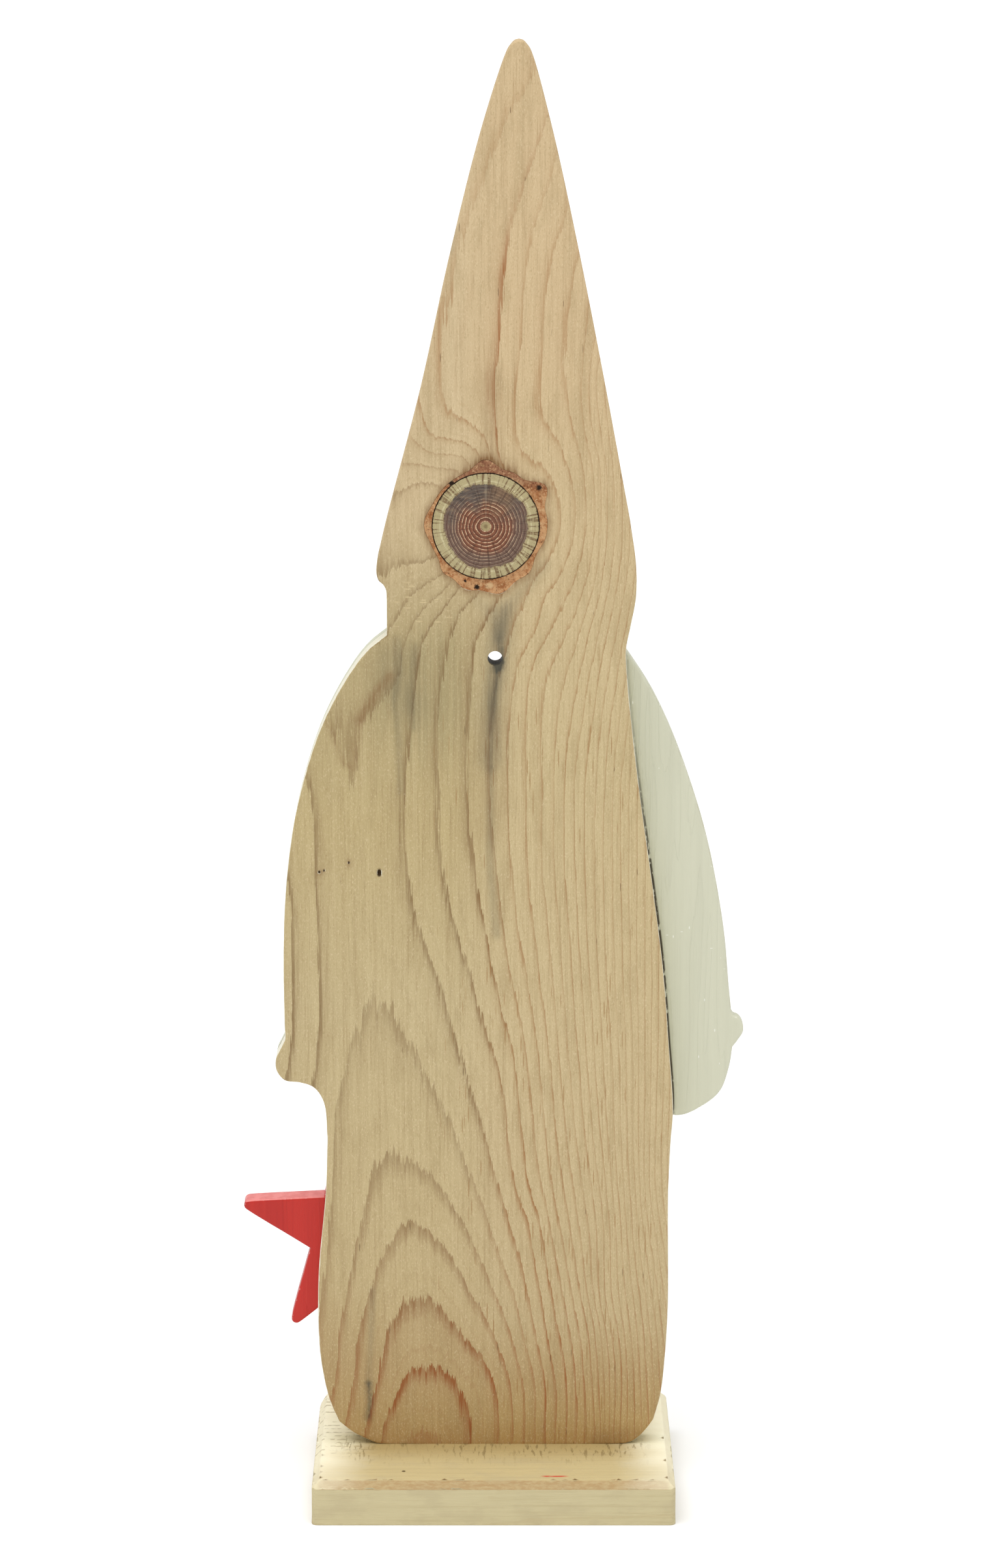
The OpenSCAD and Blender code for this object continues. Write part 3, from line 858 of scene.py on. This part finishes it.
def knot_heart(g, radius, phase, fine, patch, rays, broken):
    """(colour, dark lines) of the heartwood: red-brown, greyer and wispy in the upper half."""
    part = g.math("FRACT", phase)
    band, lot = latewood(g, phase, 0.75)
    warm = g.times(g.step(g.near(-2.0, 350.0), 7.0, 3.0), g.step(patch, 0.4, 0.6, 0.4, 1.0))
    upper = g.step(g.add(g.z, g.swing(patch, 30.0)), KNOT_Z / MM + 1, KNOT_Z / MM + 9)
    wisps = g.noise(0.22, 0.75, 4, 12.0, 0.65)
    line = g.most(band, g.times(fine, g.step(radius, 8, 13, 0, 0.5)))
    pale = g.times(g.step(part, 0.0, 0.07), g.step(part, 0.32, 0.16), g.step(broken, 0.34, 0.56))
    pale = g.times(pale, g.step(radius, 12.5, 7.0, 0.45, 1.0), g.step(upper, 0, 1, 1.0, 0.35))
    colour = g.layers(
        srgb(120, 98, 84),
        ((134, 84, 60), g.step(g.add(radius, g.swing(patch, 6.0)), 11.0, 8.0)),
        ((96, 88, 80), g.times(upper, g.step(radius, 3, 8, 0.2, 0.85))),
        ((58, 52, 52), g.times(upper, g.step(wisps, 0.5, 0.62, 0, 0.6))),
        ((160, 136, 106), g.times(upper, g.step(wisps, 0.46, 0.36, 0, 0.5))),
        ((146, 114, 82), g.times(warm, 0.6)),
        ((80, 46, 34), g.times(line, g.step(upper, 0, 1, 0.75, 0.35))),
        ((222, 190, 154), g.times(pale, g.step(lot, 0.0, 0.7, 0.5, 1.0))),
        ((84, 62, 52), g.times(g.step(rays, 0.56, 0.68), g.step(radius, 3, 9, 0, 0.6))))
    pith = g.layers(srgb(178, 160, 116), ((120, 96, 62), g.step(radius, 1.0, 0.4, 0, 0.6)))
    return g.mix(colour, pith, g.step(radius, 1.75, 1.45)), line


def knot_sap(g, radius, fine, patch, rays, broken):
    """The pale sapwood rim, with one brighter ring and rust along its rays."""
    rim = g.size(g.add(radius, g.swing(patch, 1.5), -15.3))
    rust = g.times(g.step(rays, 0.5, 0.6), g.step(broken, 0.36, 0.5, 0.3, 1.0))
    return g.layers(
        srgb(190, 177, 134),
        ((146, 126, 86), g.times(fine, 0.85)),
        ((218, 208, 166), g.times(g.step(rim, 0.45, 0.15), g.step(broken, 0.35, 0.6, 0.1, 0.6))),
        ((116, 86, 56), g.times(rust, 0.8)))


def knot_material():
    """Red-brown heartwood rings in a pale sapwood rim, darker above, with fine checks, and painted shade in
    the gap round its rim and on its sunken sides.
    """
    g = Graph("knot_wood", Roughness=0.55, Specular_IOR_Level=0.25)
    radius, turn = g.attribute("radius"), g.attribute("turn")
    rays = g.noise_at(g.times(radius, 0.10), g.times(turn, 24.0), g.times(g.z, 0.05), 3.0)
    broken = g.noise_at(g.times(radius, 1.6), g.times(turn, 5.0))
    patch = g.noise(0.13, None, 4, 2.0, 0.6)
    phase = g.add(g.times(radius, 0.72), g.times(radius, radius, 0.009), g.times(patch, 1.5),
                  g.times(rays, 0.12))
    fine, _ = latewood(g, g.times(phase, 2.3), 0.7)
    heart, line = knot_heart(g, radius, phase, fine, patch, rays, broken)
    sap = knot_sap(g, radius, fine, patch, rays, broken)
    wobble = g.add(radius, g.swing(patch, 4.0), g.swing(rays, 2.0))
    bright = g.times(g.step(g.size(g.add(turn, -math.pi / 2)), 0.05, 0.01), g.step(g.z, 341, 346))
    # Painted shade: the knot's rim, and its sides sunk below the board's back, darkened as the shaded gap
    # round it.
    rim_gap_shade = g.step(g.add(radius, g.swing(rays, 0.6)), KNOT_R / MM - 0.42, KNOT_R / MM - 0.2)
    rim_gap_shade = g.times(rim_gap_shade, g.step(broken, 0.36, 0.5, 0.25, 1.0))
    deep = g.step(g.y, BACK / MM - 0.5, BACK / MM - 0.9)
    colour = g.layers(
        g.mix(heart, sap, g.step(wobble, 13.8, 14.4)),
        ((190, 180, 156), g.times(bright, 0.15)),
        ((48, 34, 24), g.most(rim_gap_shade, deep)),
        (HAT_RED, g.step(g.facing_y, -0.5, -0.8)))
    height = g.add(g.times(line, -0.6), g.times(g.step(rays, 0.56, 0.68), -0.8))
    return g.finish(colour, height, 0.15)


def bark_material():
    """Crumbling orange-brown bark with pale broken flakes and black pits."""
    g = Graph("bark_crumbs", Roughness=0.85, Specular_IOR_Level=0.15)
    middle, rim = KNOT_Z / MM, KNOT_R / MM
    lump = g.noise(0.30, None, 5, 3.0, 0.65)
    crumb = g.noise(1.3, None, 4, 7.0, 0.7)
    low = g.step(g.z, middle - 12, middle - 19, 0.25, 1.0)
    pits = [((44, 32, 24), g.step(g.add(g.near(x, z), g.swing(crumb, 1.4)), radius, radius * 0.4))
            for x, z, radius in BARK_PITS]
    colour = g.layers(
        srgb(202, 154, 108),
        ((166, 108, 66), g.step(lump, 0.38, 0.60)),
        ((138, 92, 72), g.times(g.step(g.z, middle + 10, middle + 17), 0.7)),
        ((216, 178, 132), g.step(crumb, 0.50, 0.68, 0, 0.8)),
        ((220, 188, 142), g.times(g.specks(0.20, 0.26, 0.42, 0.4, 4.0), low, 0.75)),
        ((84, 52, 34), g.step(crumb, 0.44, 0.30, 0, 0.85)),
        *pits,
        # Painted shade along the bark's inner edge, in the gap next to the knot.
        ((50, 34, 24), g.step(g.near(KNOT_X / MM, middle), rim + 0.22, rim + 0.02)),
        (HAT_RED, g.step(g.facing_y, -0.5, -0.8)))
    return g.finish(colour, g.add(lump, g.times(crumb, 0.8)), 0.6)


def end_grain(name, light, dark, centre, roughness=0.5, coat_weight=0.0):
    """Turned or cut wood, its growth rings round a place a little off its centre [x, z] in metres."""
    g = Graph(name, Roughness=roughness, Specular_IOR_Level=0.4, Coat_Weight=coat_weight,
              Coat_Roughness=0.25)
    away = g.near(centre[0] / MM + 3.0, centre[1] / MM - 2.0)
    band, lot = latewood(g, g.add(g.times(away, 0.8), g.noise(0.2, None, 2, 3.0)), 0.3)
    pore = g.noise(3.0, None, 3, 5.0, 0.6)
    colour = g.layers(
        srgb(*light),
        (dark, g.times(band, g.add(0.25, g.times(lot, 0.4)))),
        (dark, g.step(pore, 0.55, 0.75, 0, 0.5)))
    return g.finish(colour, g.add(g.times(pore, 0.6), g.times(band, 0.3)), 0.06)


def steel_material():
    """Zinc-plated steel with fine turning marks and dull blotches."""
    g = Graph("zinc_steel", Metallic=1.0, Roughness=0.35)
    blotch = g.noise(0.5, None, 3, 2.0)
    marks = g.noise(0.4, 6.0, 3, 4.0)
    colour = g.layers(srgb(190, 190, 186), ((150, 148, 138), g.step(blotch, 0.4, 0.65)))
    rough = g.step(blotch, 0.35, 0.65, 0.28, 0.5)
    return g.finish(colour, g.add(marks, g.times(blotch, 0.5)), 0.05, rough)


# ---------------------------------------------------------------- pieces

def edge_wear(piece):
    """Stores 1 on the softened edges and 0 on the flats."""
    normals = np.zeros(len(piece.data.vertices) * 3)
    piece.data.vertex_normals.foreach_get("vector", normals)
    across = np.abs(normals.reshape(-1, 3)[:, 1])
    store(piece, "edge", np.clip(1 - np.abs(across - 0.6) / 0.4, 0, 1))


def stains(flat, marks):
    """How much each [x, z] point is stained by a list of (strength, width, line)."""
    return sum(strength * near_line(flat, line, width) for strength, width, line in marks)


def board_tint(points):
    """Colour for each vertex: ring strength, warmth, grey stain and brown stain; the grey is full inside the
    hang hole, as painted shade.
    """
    flat = points[:, [0, 2]]
    z = flat[:, 1] / MM
    ring = ring_at(flat)
    hat_ring = bump_at(ring, 7.9, 0.2)
    strength = np.interp(ring + 0.1, range(len(RING_DEPTH)), RING_DEPTH)
    strength *= np.interp(z, [15, 30, 55, 80, 300, 330, 430, 445, 502],
                          [0.75, 1.15, 1.0, 0.9, 0.9, 0.8, 0.7, 0.4, 0.3])
    strength *= 1 - 0.85 * near_line(flat, [(5, 470), (9, 455), (14, 438), (18, 420)], 3.5)
    strength += 0.35 * hat_ring * np.interp(z, [365, 372, 425, 440], [0, 1, 1, 0])
    warm = np.interp(z, [15, 40, 75, 130], [0.95, 0.8, 0.35, 0.12])
    warm += 0.6 * hat_ring * np.interp(z, [340, 370], [0, 1])
    grey = 0.42 * near_line(flat, HOLE_STREAK, HOLE_STREAK_WIDTH)
    grey *= np.interp(z, [255, 270, 288], [0.2, 0.5, 1])
    grey += stains(flat, GREY_STAINS)
    opening = widest_loop("bark_ring", BACK)
    brown = stains(flat, BROWN_STAINS)
    brown += 0.62 * near_line(flat, np.concatenate([opening, opening[:1]]) / MM, 1.5)
    # Painted shade: the walls inside the hang hole take the full grey; other sunk walls lose the brown
    # stain.
    deep = points[:, 1] < BACK - 0.5 * MM
    round_hole = np.linalg.norm(flat - [HOLE.x, HOLE.z], axis=1) < 3.2 * MM
    grey = np.where(deep, np.where(round_hole, 1.0, 0), grey)
    return np.clip(np.stack([strength, warm, grey, np.where(deep, 0, brown)], 1), 0, 1.2)


def pit_points():
    """Close rings of points round each pit, so that it has a shape."""
    spots = [(x + rx * share * math.cos(a), z + rz * share * math.sin(a))
             for x, z, rx, rz, _ in PITS for share in (0.3, 0.6, 0.8, 1.0, 1.2, 1.5)
             for a in np.linspace(0, 2 * math.pi, 14, endpoint=False)]
    return np.array(spots + [(p[0], p[1]) for p in PITS]) * MM


def board_back_height(flat):
    """How far the board's back lies below its plane: hand-planed waves, pits and a rough patch."""
    level = 0.05 + 0.05 * wander(stand(flat, 0), 28, 1.0)
    here = flat / MM
    for x, z, rx, rz, depth in PITS:
        away = np.hypot((here[:, 0] - x) / rx, (here[:, 1] - z) / rz)
        level += depth * np.clip(1.25 - away, 0, 1) ** 0.5 * (away < 1.25)
    rough = bump_at(here[:, 0], 24, 12) * bump_at(here[:, 1], 314, 10)
    level += 0.10 * rough * np.abs(wander(stand(flat, 0) * [1, 1, 4], 300, 7.0))
    return level * MM


def make_board():
    """The body board, with its ring numbers and stains stored for its material."""
    piece = plank("back_board", "body_board", step=1.3 * MM, front_step=2.2 * MM, arris=0.75,
                  socket=PEG_DEPTH, back_height=board_back_height, extra=pit_points())
    points = spots_of(piece)
    depth = (BACK - points[:, 1]) / MM
    store(piece, "ring", ring_at(points[:, [0, 2]]) - 0.28 * depth)
    store(piece, "tint", board_tint(points))
    edge_wear(piece)
    return place(piece, "board_wood", board_material(), "body_board")


def seam_rows():
    """Rows of points just outside the board's edge, where an arm comes out from behind it."""
    outline = resample(widest_loop("body_board", FRONT), 0.9 * MM)
    return np.concatenate([inset(outline, -out * MM) for out in (-0.3, 0.15, 0.6, 1.0)])


def seam_at(flat):
    """1 right beside the board's edge, 0 from a millimetre away."""
    outline = resample(widest_loop("body_board", FRONT), 0.3 * MM)
    return np.clip((1.0 - gap_to(outline, flat) / MM) / 0.4, 0, 1)


def make_arm(name, node, material):
    """An arm's board, sunk a little beside the body board's edge, with painted shade along that edge."""
    piece = plank(name, node, step=1.5 * MM, front_step=1.5 * MM, arris=0.8, socket=PEG_REACH,
                  back_height=lambda flat: 0.25 * MM * seam_at(flat), extra=seam_rows())
    edge_wear(piece)
    points = spots_of(piece)
    # Stores where the arm gets painted shade beside the body board's edge.
    store(piece, "seam_shade", seam_at(points[:, [0, 2]]) * (points[:, 1] > FRONT - 0.6 * MM))
    return place(piece, "white_paint", material, node)


def beard_height(flat):
    """Carved locks: long wavy grooves that fan out from the mouth and meet at the point."""
    low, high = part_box("beard")
    middle = (low.x + high.x) / 2
    drop = (high.z - flat[:, 1]) / (high.z - low.z)
    spread = (flat[:, 0] - middle) / MM / (1.15 - 0.75 * drop)
    wave = spread * 1.05 + 1.1 * np.sin(drop * 7 + spread * 0.12) + 0.5 * wander(stand(flat, 0), 60, 4.0)
    groove = np.abs(np.sin(wave)) ** 0.6
    fine = 0.18 * np.abs(np.sin(wave * 3.1 + 1))
    return (1.25 * (1 - groove) + fine) * MM


def make_beard(material):
    piece = plank("carved_beard", "beard", step=1.4 * MM, front_step=0.75 * MM, arris=0.5,
                  socket=PEG_REACH, front_height=beard_height, edge_wave=0.15)
    edge_wear(piece)
    return place(piece, "beard_paint", material, "beard")


def make_star(material):
    piece = plank("red_star", "star", step=1.0 * MM, front_step=1.1 * MM, arris=0.7, socket=PEG_REACH,
                  edge_wave=0.2)
    edge_wear(piece)
    return place(piece, "red_paint", material, "star")


def make_knot():
    """The branch's end as rings of points, with raised growth rings, checks and a shrunken rim."""
    back, front = KNOT_HIGH.y, KNOT_LOW.y
    front_r = KNOT_R - 1.5 * MM
    turns = np.linspace(0, 2 * math.pi, 240, endpoint=False)
    shell = Shell()
    rim = 1 - 0.003 * (1 + wander(np.stack([np.cos(turns), np.sin(turns), turns * 0], 1), 2.2, 5.0))

    def ring(radius, level):
        return np.stack([KNOT_X + radius * np.cos(turns), np.broadcast_to(level, len(turns)),
                         KNOT_Z + radius * np.sin(turns)], 1)

    def surface(share, outer, level, sign):
        radius = share * outer * rim
        check = np.zeros(len(turns))
        for angle, start, width in KNOT_CHECKS:
            away = np.abs((turns - angle + math.pi) % (2 * math.pi) - math.pi)
            check += np.exp(-(away / width) ** 2) * np.clip((share - start) * 6, 0, 1) * 0.35
        wave = 0.06 * (1 + math.cos(share * outer / MM * 2 * math.pi / 1.06))
        return ring(radius, level + sign * (0.05 + wave + check) * MM)

    shares = np.linspace(0.012, 0.985, 84)
    back_rows = [surface(s, KNOT_R, back, -1) for s in shares]
    front_rows = [surface(s, front_r, front, 1) for s in shares[::2]]
    edge = [ring(KNOT_R * rim, back - 0.5 * MM)]
    wall = [ring((KNOT_R + (front_r - KNOT_R) * s) * rim, back + (front - back) * s)
            for s in (0.25, 0.5, 0.75)]
    edge += wall + [ring(front_r * rim, front + 0.4 * MM)]
    shell.strip(back_rows + edge + front_rows[::-1])
    shell.fan((KNOT_X, back - 0.12 * MM, KNOT_Z), back_rows[0])
    shell.fan((KNOT_X, front + 0.12 * MM, KNOT_Z), front_rows[0])
    piece = shell.build("knot")
    offset = (spots_of(piece) - [KNOT_X, 0, KNOT_Z]) / MM
    store(piece, "radius", np.hypot(offset[:, 0], offset[:, 2]))
    store(piece, "turn", np.abs(np.arctan2(offset[:, 2], offset[:, 0])))
    return place(piece, "knot_wood", knot_material(), "knot_core")


def make_bark():
    """The broken ring of bark: fills the gap from the knot to the board's opening, crumbled inwards."""
    low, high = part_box("bark_ring")
    offset = widest_loop("bark_ring", high.y) - [KNOT_X, KNOT_Z]
    angles = np.arctan2(offset[:, 1], offset[:, 0])
    order = np.argsort(angles)
    turns = np.linspace(-math.pi, math.pi, 300, endpoint=False)
    reach = np.interp(turns, angles[order], np.hypot(*offset[order].T), period=2 * math.pi) - 0.04 * MM
    shares = np.linspace(0, 1, 13)

    def row(share, level, inner, sign):
        radius = inner + (reach - inner) * share
        points = np.stack([KNOT_X + radius * np.cos(turns), np.full(len(turns), level),
                           KNOT_Z + radius * np.sin(turns)], 1)
        lump = wander(points, 420, 2.0) + 0.6 * wander(points, 1100, 6.0)
        room = np.clip((reach - inner) / (3 * MM), 0.25, 1) * (1 - 0.75 * max(0, share - 0.7) / 0.3)
        points[:, 1] += sign * np.clip(0.55 + 0.6 * lump, 0.05, 1.6) * room * MM
        return points

    back = [row(s, high.y, KNOT_R + 0.02 * MM, -1) for s in shares]
    front = [row(s, low.y, KNOT_R - 1.48 * MM, 1) for s in shares[::2]]
    shell = Shell()
    outer = [back[-1] * (1 - s) + front[-1] * s for s in (0.25, 0.5, 0.75)]
    inner = [front[0] * (1 - s) + back[0] * s for s in (0.25, 0.5, 0.75)]
    shell.strip(back + outer + front[::-1] + inner + [back[0]])
    piece = shell.build("bark", 0.9)
    return place(piece, "bark", bark_material(), "bark_ring")


def drop_doubled(bm):
    """Removes faces that lie back to back on the same corners, and keeps one where their number is odd."""
    groups = {}
    for face in bm.faces:
        groups.setdefault(frozenset(face.verts), []).append(face)
    doubled = [face for same in groups.values() if len(same) > 1 for face in same[len(same) % 2:]]
    bmesh.ops.delete(bm, geom=doubled, context="FACES")


def make_plinth():
    """The CAD plinth with its edges eased and its faces cut up finely enough to be uneven."""
    bm = bmesh.new()
    bm.from_mesh(frame["nodes"]["plinth"].data)
    bmesh.ops.remove_doubles(bm, verts=bm.verts, dist=0.00001)
    flat = [e for e in bm.edges if len(e.link_faces) == 2 and e.calc_face_angle(9) < 0.02]
    bmesh.ops.dissolve_edges(bm, edges=flat, use_verts=True)
    lone = [v for v in bm.verts if len(v.link_edges) == 2]
    bmesh.ops.dissolve_verts(bm, verts=[v for v in lone if v.calc_edge_angle(9) < 0.02])
    crisp = [e for e in bm.edges if len(e.link_faces) == 2 and e.calc_face_angle(0) > 0.3
             and all(v.co.z > 0.001 or abs(v.co.x) > 0.04 or abs(v.co.y) > 0.03 for v in e.verts)]
    bmesh.ops.bevel(bm, geom=crisp, offset=0.45 * MM, segments=3, profile=0.5, affect="EDGES",
                    clamp_overlap=True)
    for _ in range(6):
        bmesh.ops.triangulate(bm, faces=bm.faces)
        long_edges = [e for e in bm.edges if e.calc_length() > 3.2 * MM]
        if not long_edges:
            break
        bmesh.ops.subdivide_edges(bm, edges=long_edges, cuts=1)
    bmesh.ops.triangulate(bm, faces=bm.faces)
    drop_doubled(bm)
    bm.normal_update()
    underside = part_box("plinth")[0].z + 0.4 * MM
    for v in bm.verts:
        depth = 0.06 * (1 + noise.noise(v.co * 110)) + 0.03 * (1 + noise.noise(v.co * 400))
        if v.co.z > underside:
            v.co -= v.normal * depth * MM
    mesh = bpy.data.meshes.new("base_plinth")
    bm.to_mesh(mesh)
    bm.free()
    piece = finish_mesh("base_plinth", mesh, 0.9)
    return place(piece, "plinth_wood", plinth_material(), "plinth")


def lathe(shell, profile, centre, axis, turns=64, flute=None):
    """A turned shape: (radius, along) points round an axis, "y" towards the viewer of the front or "z"."""
    angles = np.linspace(0, 2 * math.pi, turns, endpoint=False)
    rows = []
    for radius, along in profile:
        scale = 1 if flute is None else 1 - flute(angles)
        across = np.stack([radius * scale * np.cos(angles), radius * scale * np.sin(angles)], 1)
        full = np.full(turns, along)
        row = np.stack([across[:, 0], -full, across[:, 1]] if axis == "y" else [*across.T, full], 1)
        rows.append(row + np.array(centre))
    shell.strip(rows)
    for row in (rows[0], rows[-1]):
        shell.fan(row.mean(0), row)


def flutes(angles):
    """How deep a dowel's twelve grooves are at each angle, as a share of its radius."""
    return 0.07 * np.clip(np.cos(angles * 12), 0, 1) ** 2


def make_pegs(name, node, material):
    """Fluted dowels with chamfered ends, one for each solid in the CAD node."""
    low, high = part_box(node)
    length, chamfer = high.y - low.y, 0.5 * MM
    profile = [(PEG_R - chamfer, 0)]
    profile += [(PEG_R, s) for s in np.linspace(chamfer, length - chamfer, 12)]
    profile += [(PEG_R - chamfer, length)]
    shell = Shell()
    for loop in face_loops(node, high.y):
        x, z = loop.mean(0)
        lathe(shell, profile, (x, high.y, z), "y", 72, flutes)
    return place(shell.build(name, 0.5), "peg_wood", material, node)


def cross_recess(radius, turns):
    """How deep a crossed slot is at that radius, for each angle round a screw's head."""
    angles = np.linspace(0, 2 * math.pi, turns, endpoint=False)
    across = np.minimum(np.abs(radius * np.cos(angles)), np.abs(radius * np.sin(angles)))
    slot = (across < 0.5 * MM) & (radius < 2.1 * MM)
    return np.where(slot, 1.4 * MM * (1 - radius / (2.4 * MM)), 0)


def wind_thread(shell, centre, length, start, pitch):
    """A sharp ridge wound down a screw's core, fading in at its start and tapering at the point."""
    per_turn = 36
    rows = []
    for i in range(int((length - 1.2 * MM - start) / pitch * per_turn)):
        along = start + i / per_turn * pitch
        taper = np.clip((length - along) / (5 * MM), 0.1, 1) * np.clip((i + 4) / 20, 0.5, 1)
        a = i / per_turn * 2 * math.pi
        spoke = np.array([math.cos(a), math.sin(a), 0])
        shape = [(0.9, -0.35), (1.97 * taper, -0.05), (1.97 * taper, 0.05), (0.9, 0.35)]
        rows.append(np.array([centre + spoke * max(r, 0.2) * MM + np.array([0, 0, along + d * MM])
                              for r, d in shape]))
    shell.strip(rows)
    for row in (rows[0], rows[-1]):
        shell.cap(row, [(0, 1, 2, 3)])


def make_screws(material):
    """Two countersunk wood screws: cross recess, plain neck, then a thread down to the point."""
    low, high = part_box("plinth_screws")
    length, thread_from, pitch, turns = high.z - low.z, 14 * MM, 1.8 * MM, 48
    rings = [r * MM for r in (0.15, 0.4, 0.7, 1.0, 1.3, 1.6, 1.9, 2.05, 2.2, 3.8)]
    face = [(r, cross_recess(r, turns)) for r in rings]
    shank = [(4.0, 0), (4.0, 0.25), (1.9, 2.4), (1.6, 3.2), (1.6, thread_from / MM)]
    core = [(1.35, thread_from / MM + 1), (1.35, length / MM - 4), (0.3, length / MM - 0.2)]
    profile = face + [(r * MM, along * MM) for r, along in shank + core]
    shell = Shell()
    for side in (-1, 1):
        centre = np.array([side * (high.x - SCREW_HEAD_R), (low.y + high.y) / 2, low.z])
        lathe(shell, profile, centre, "z", turns)
        wind_thread(shell, centre, length, thread_from, pitch)
    return place(shell.build("screws", 0.5), "screw_steel", material, "plinth_screws")


def make_nose(material):
    """A turned ball, slightly uneven, with its flat and its peg socket."""
    low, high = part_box("nose")
    radius = (high.x - low.x) / 2
    centre = ((low.x + high.x) / 2, high.y, (low.z + high.z) / 2)
    offset = (high.y - low.y) - radius
    start = math.acos(-offset / radius)
    arc = [(radius * math.sin(a), offset - radius * math.cos(a))
           for a in np.linspace(math.pi - start, math.pi - 0.02, 60)]
    profile = [(0.1 * MM, PEG_REACH), (PEG_R, PEG_REACH), (PEG_R, PEG_REACH / 2), (PEG_R, 0)]
    profile += [(r, 0) for r in np.linspace(PEG_R, arc[0][0] - 0.3 * MM, 6)[1:]]
    profile += [(r * (1 - 0.004 * (1 + math.sin(i * 1.3))), s) for i, (r, s) in enumerate(arc)]
    shell = Shell()
    lathe(shell, profile, centre, "y", 96)
    return place(shell.build("nose_ball", 0.7), "nose_wood", material, "nose")


# ---------------------------------------------------------------- stage

def make_floor():
    """A wide, nearly white floor with the faintest clouds in it."""
    half = 60
    corners = [(-half, -half, 0), (half, -half, 0), (half, half, 0), (-half, half, 0)]
    mesh = bpy.data.meshes.new("floor")
    mesh.from_pydata(corners, [], [(0, 1, 2, 3)])
    floor = bpy.data.objects.new("floor", mesh)
    bpy.context.scene.collection.objects.link(floor)
    g = Graph("pale_floor", Roughness=0.9, Specular_IOR_Level=0.1)
    cloud = g.noise(0.004, None, 2, 1.0)
    floor.data.materials.append(g.finish(g.mix((0.93, 0.93, 0.93), (0.95, 0.95, 0.95), cloud)))


def make_studio():
    """An even white room and one very wide, soft light high overhead, a little to the camera's side."""
    world = bpy.data.worlds.new("studio")
    world.use_nodes = True
    world.node_tree.nodes["Background"].inputs["Color"].default_value = (1, 1, 1, 1)
    world.node_tree.nodes["Background"].inputs["Strength"].default_value = 0.55
    bpy.context.scene.world = world
    data = bpy.data.lights.new("overhead", "SUN")
    data.energy = 2.4
    data.angle = math.radians(60)
    light = bpy.data.objects.new("overhead", data)
    light.rotation_euler = Vector((-0.08, -0.18, -1)).to_track_quat("-Z", "Y").to_euler()
    bpy.context.scene.collection.objects.link(light)
    bpy.context.scene.view_settings.view_transform = "Standard"


def make_camera():
    """Behind the figure, 13 degrees above the level, at a distance of about 1.5 m."""
    data = bpy.data.cameras.new("camera")
    data.sensor_width = 36
    data.lens = 102.5
    data.clip_start = 0.05
    camera = bpy.data.objects.new("camera", data)
    camera.location = (0.0002, 1.4807, 0.5926)
    camera.rotation_euler = (math.radians(90 - 13), 0, math.radians(180))
    bpy.context.scene.collection.objects.link(camera)
    bpy.context.scene.camera = camera


make_studio()
make_camera()
make_floor()

# Paints: base, the wood under it, a second tone of it, then seed, roughness and how much grain shows
arm_white = painted_wood("arm_paint", (210, 210, 187), (176, 170, 138), (190, 190, 168), 11.0, 0.45, 0.16)
beard_white = painted_wood("beard_white", (240, 238, 228), (196, 184, 150), (214, 210, 196), 23.0, 0.5, 0.25)
# The star's pale pink on its upward faces is a painted highlight.
star_red = painted_wood("star_red", (194, 42, 32), (214, 120, 96), (160, 22, 20), 31.0, 0.36, 0.3,
                        wear=0.5, upward_sheen=(232, 138, 134))
peg_birch = end_grain("peg_birch", (226, 200, 152), (190, 156, 108), (0, 0))
nose_middle = [(a + b) / 2 for a, b in zip(*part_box("nose"))]
nose_birch = end_grain("nose_birch", (232, 190, 152), (204, 150, 112), (nose_middle[0], nose_middle[2]),
                       roughness=0.4, coat_weight=0.3)

make_board()
make_knot()
make_bark()
make_arm("arm_left", "left_arm", arm_white)
make_arm("arm_right", "right_arm", arm_white)
make_beard(beard_white)
make_star(star_red)
make_plinth()
make_nose(nose_birch)
for peg_name, peg_node in (("pegs_arms", "arm_pegs"), ("pegs_star", "star_pegs"),
                           ("pegs_beard", "beard_pegs"), ("peg_nose", "nose_peg")):
    make_pegs(peg_name, peg_node, peg_birch)
make_screws(steel_material())
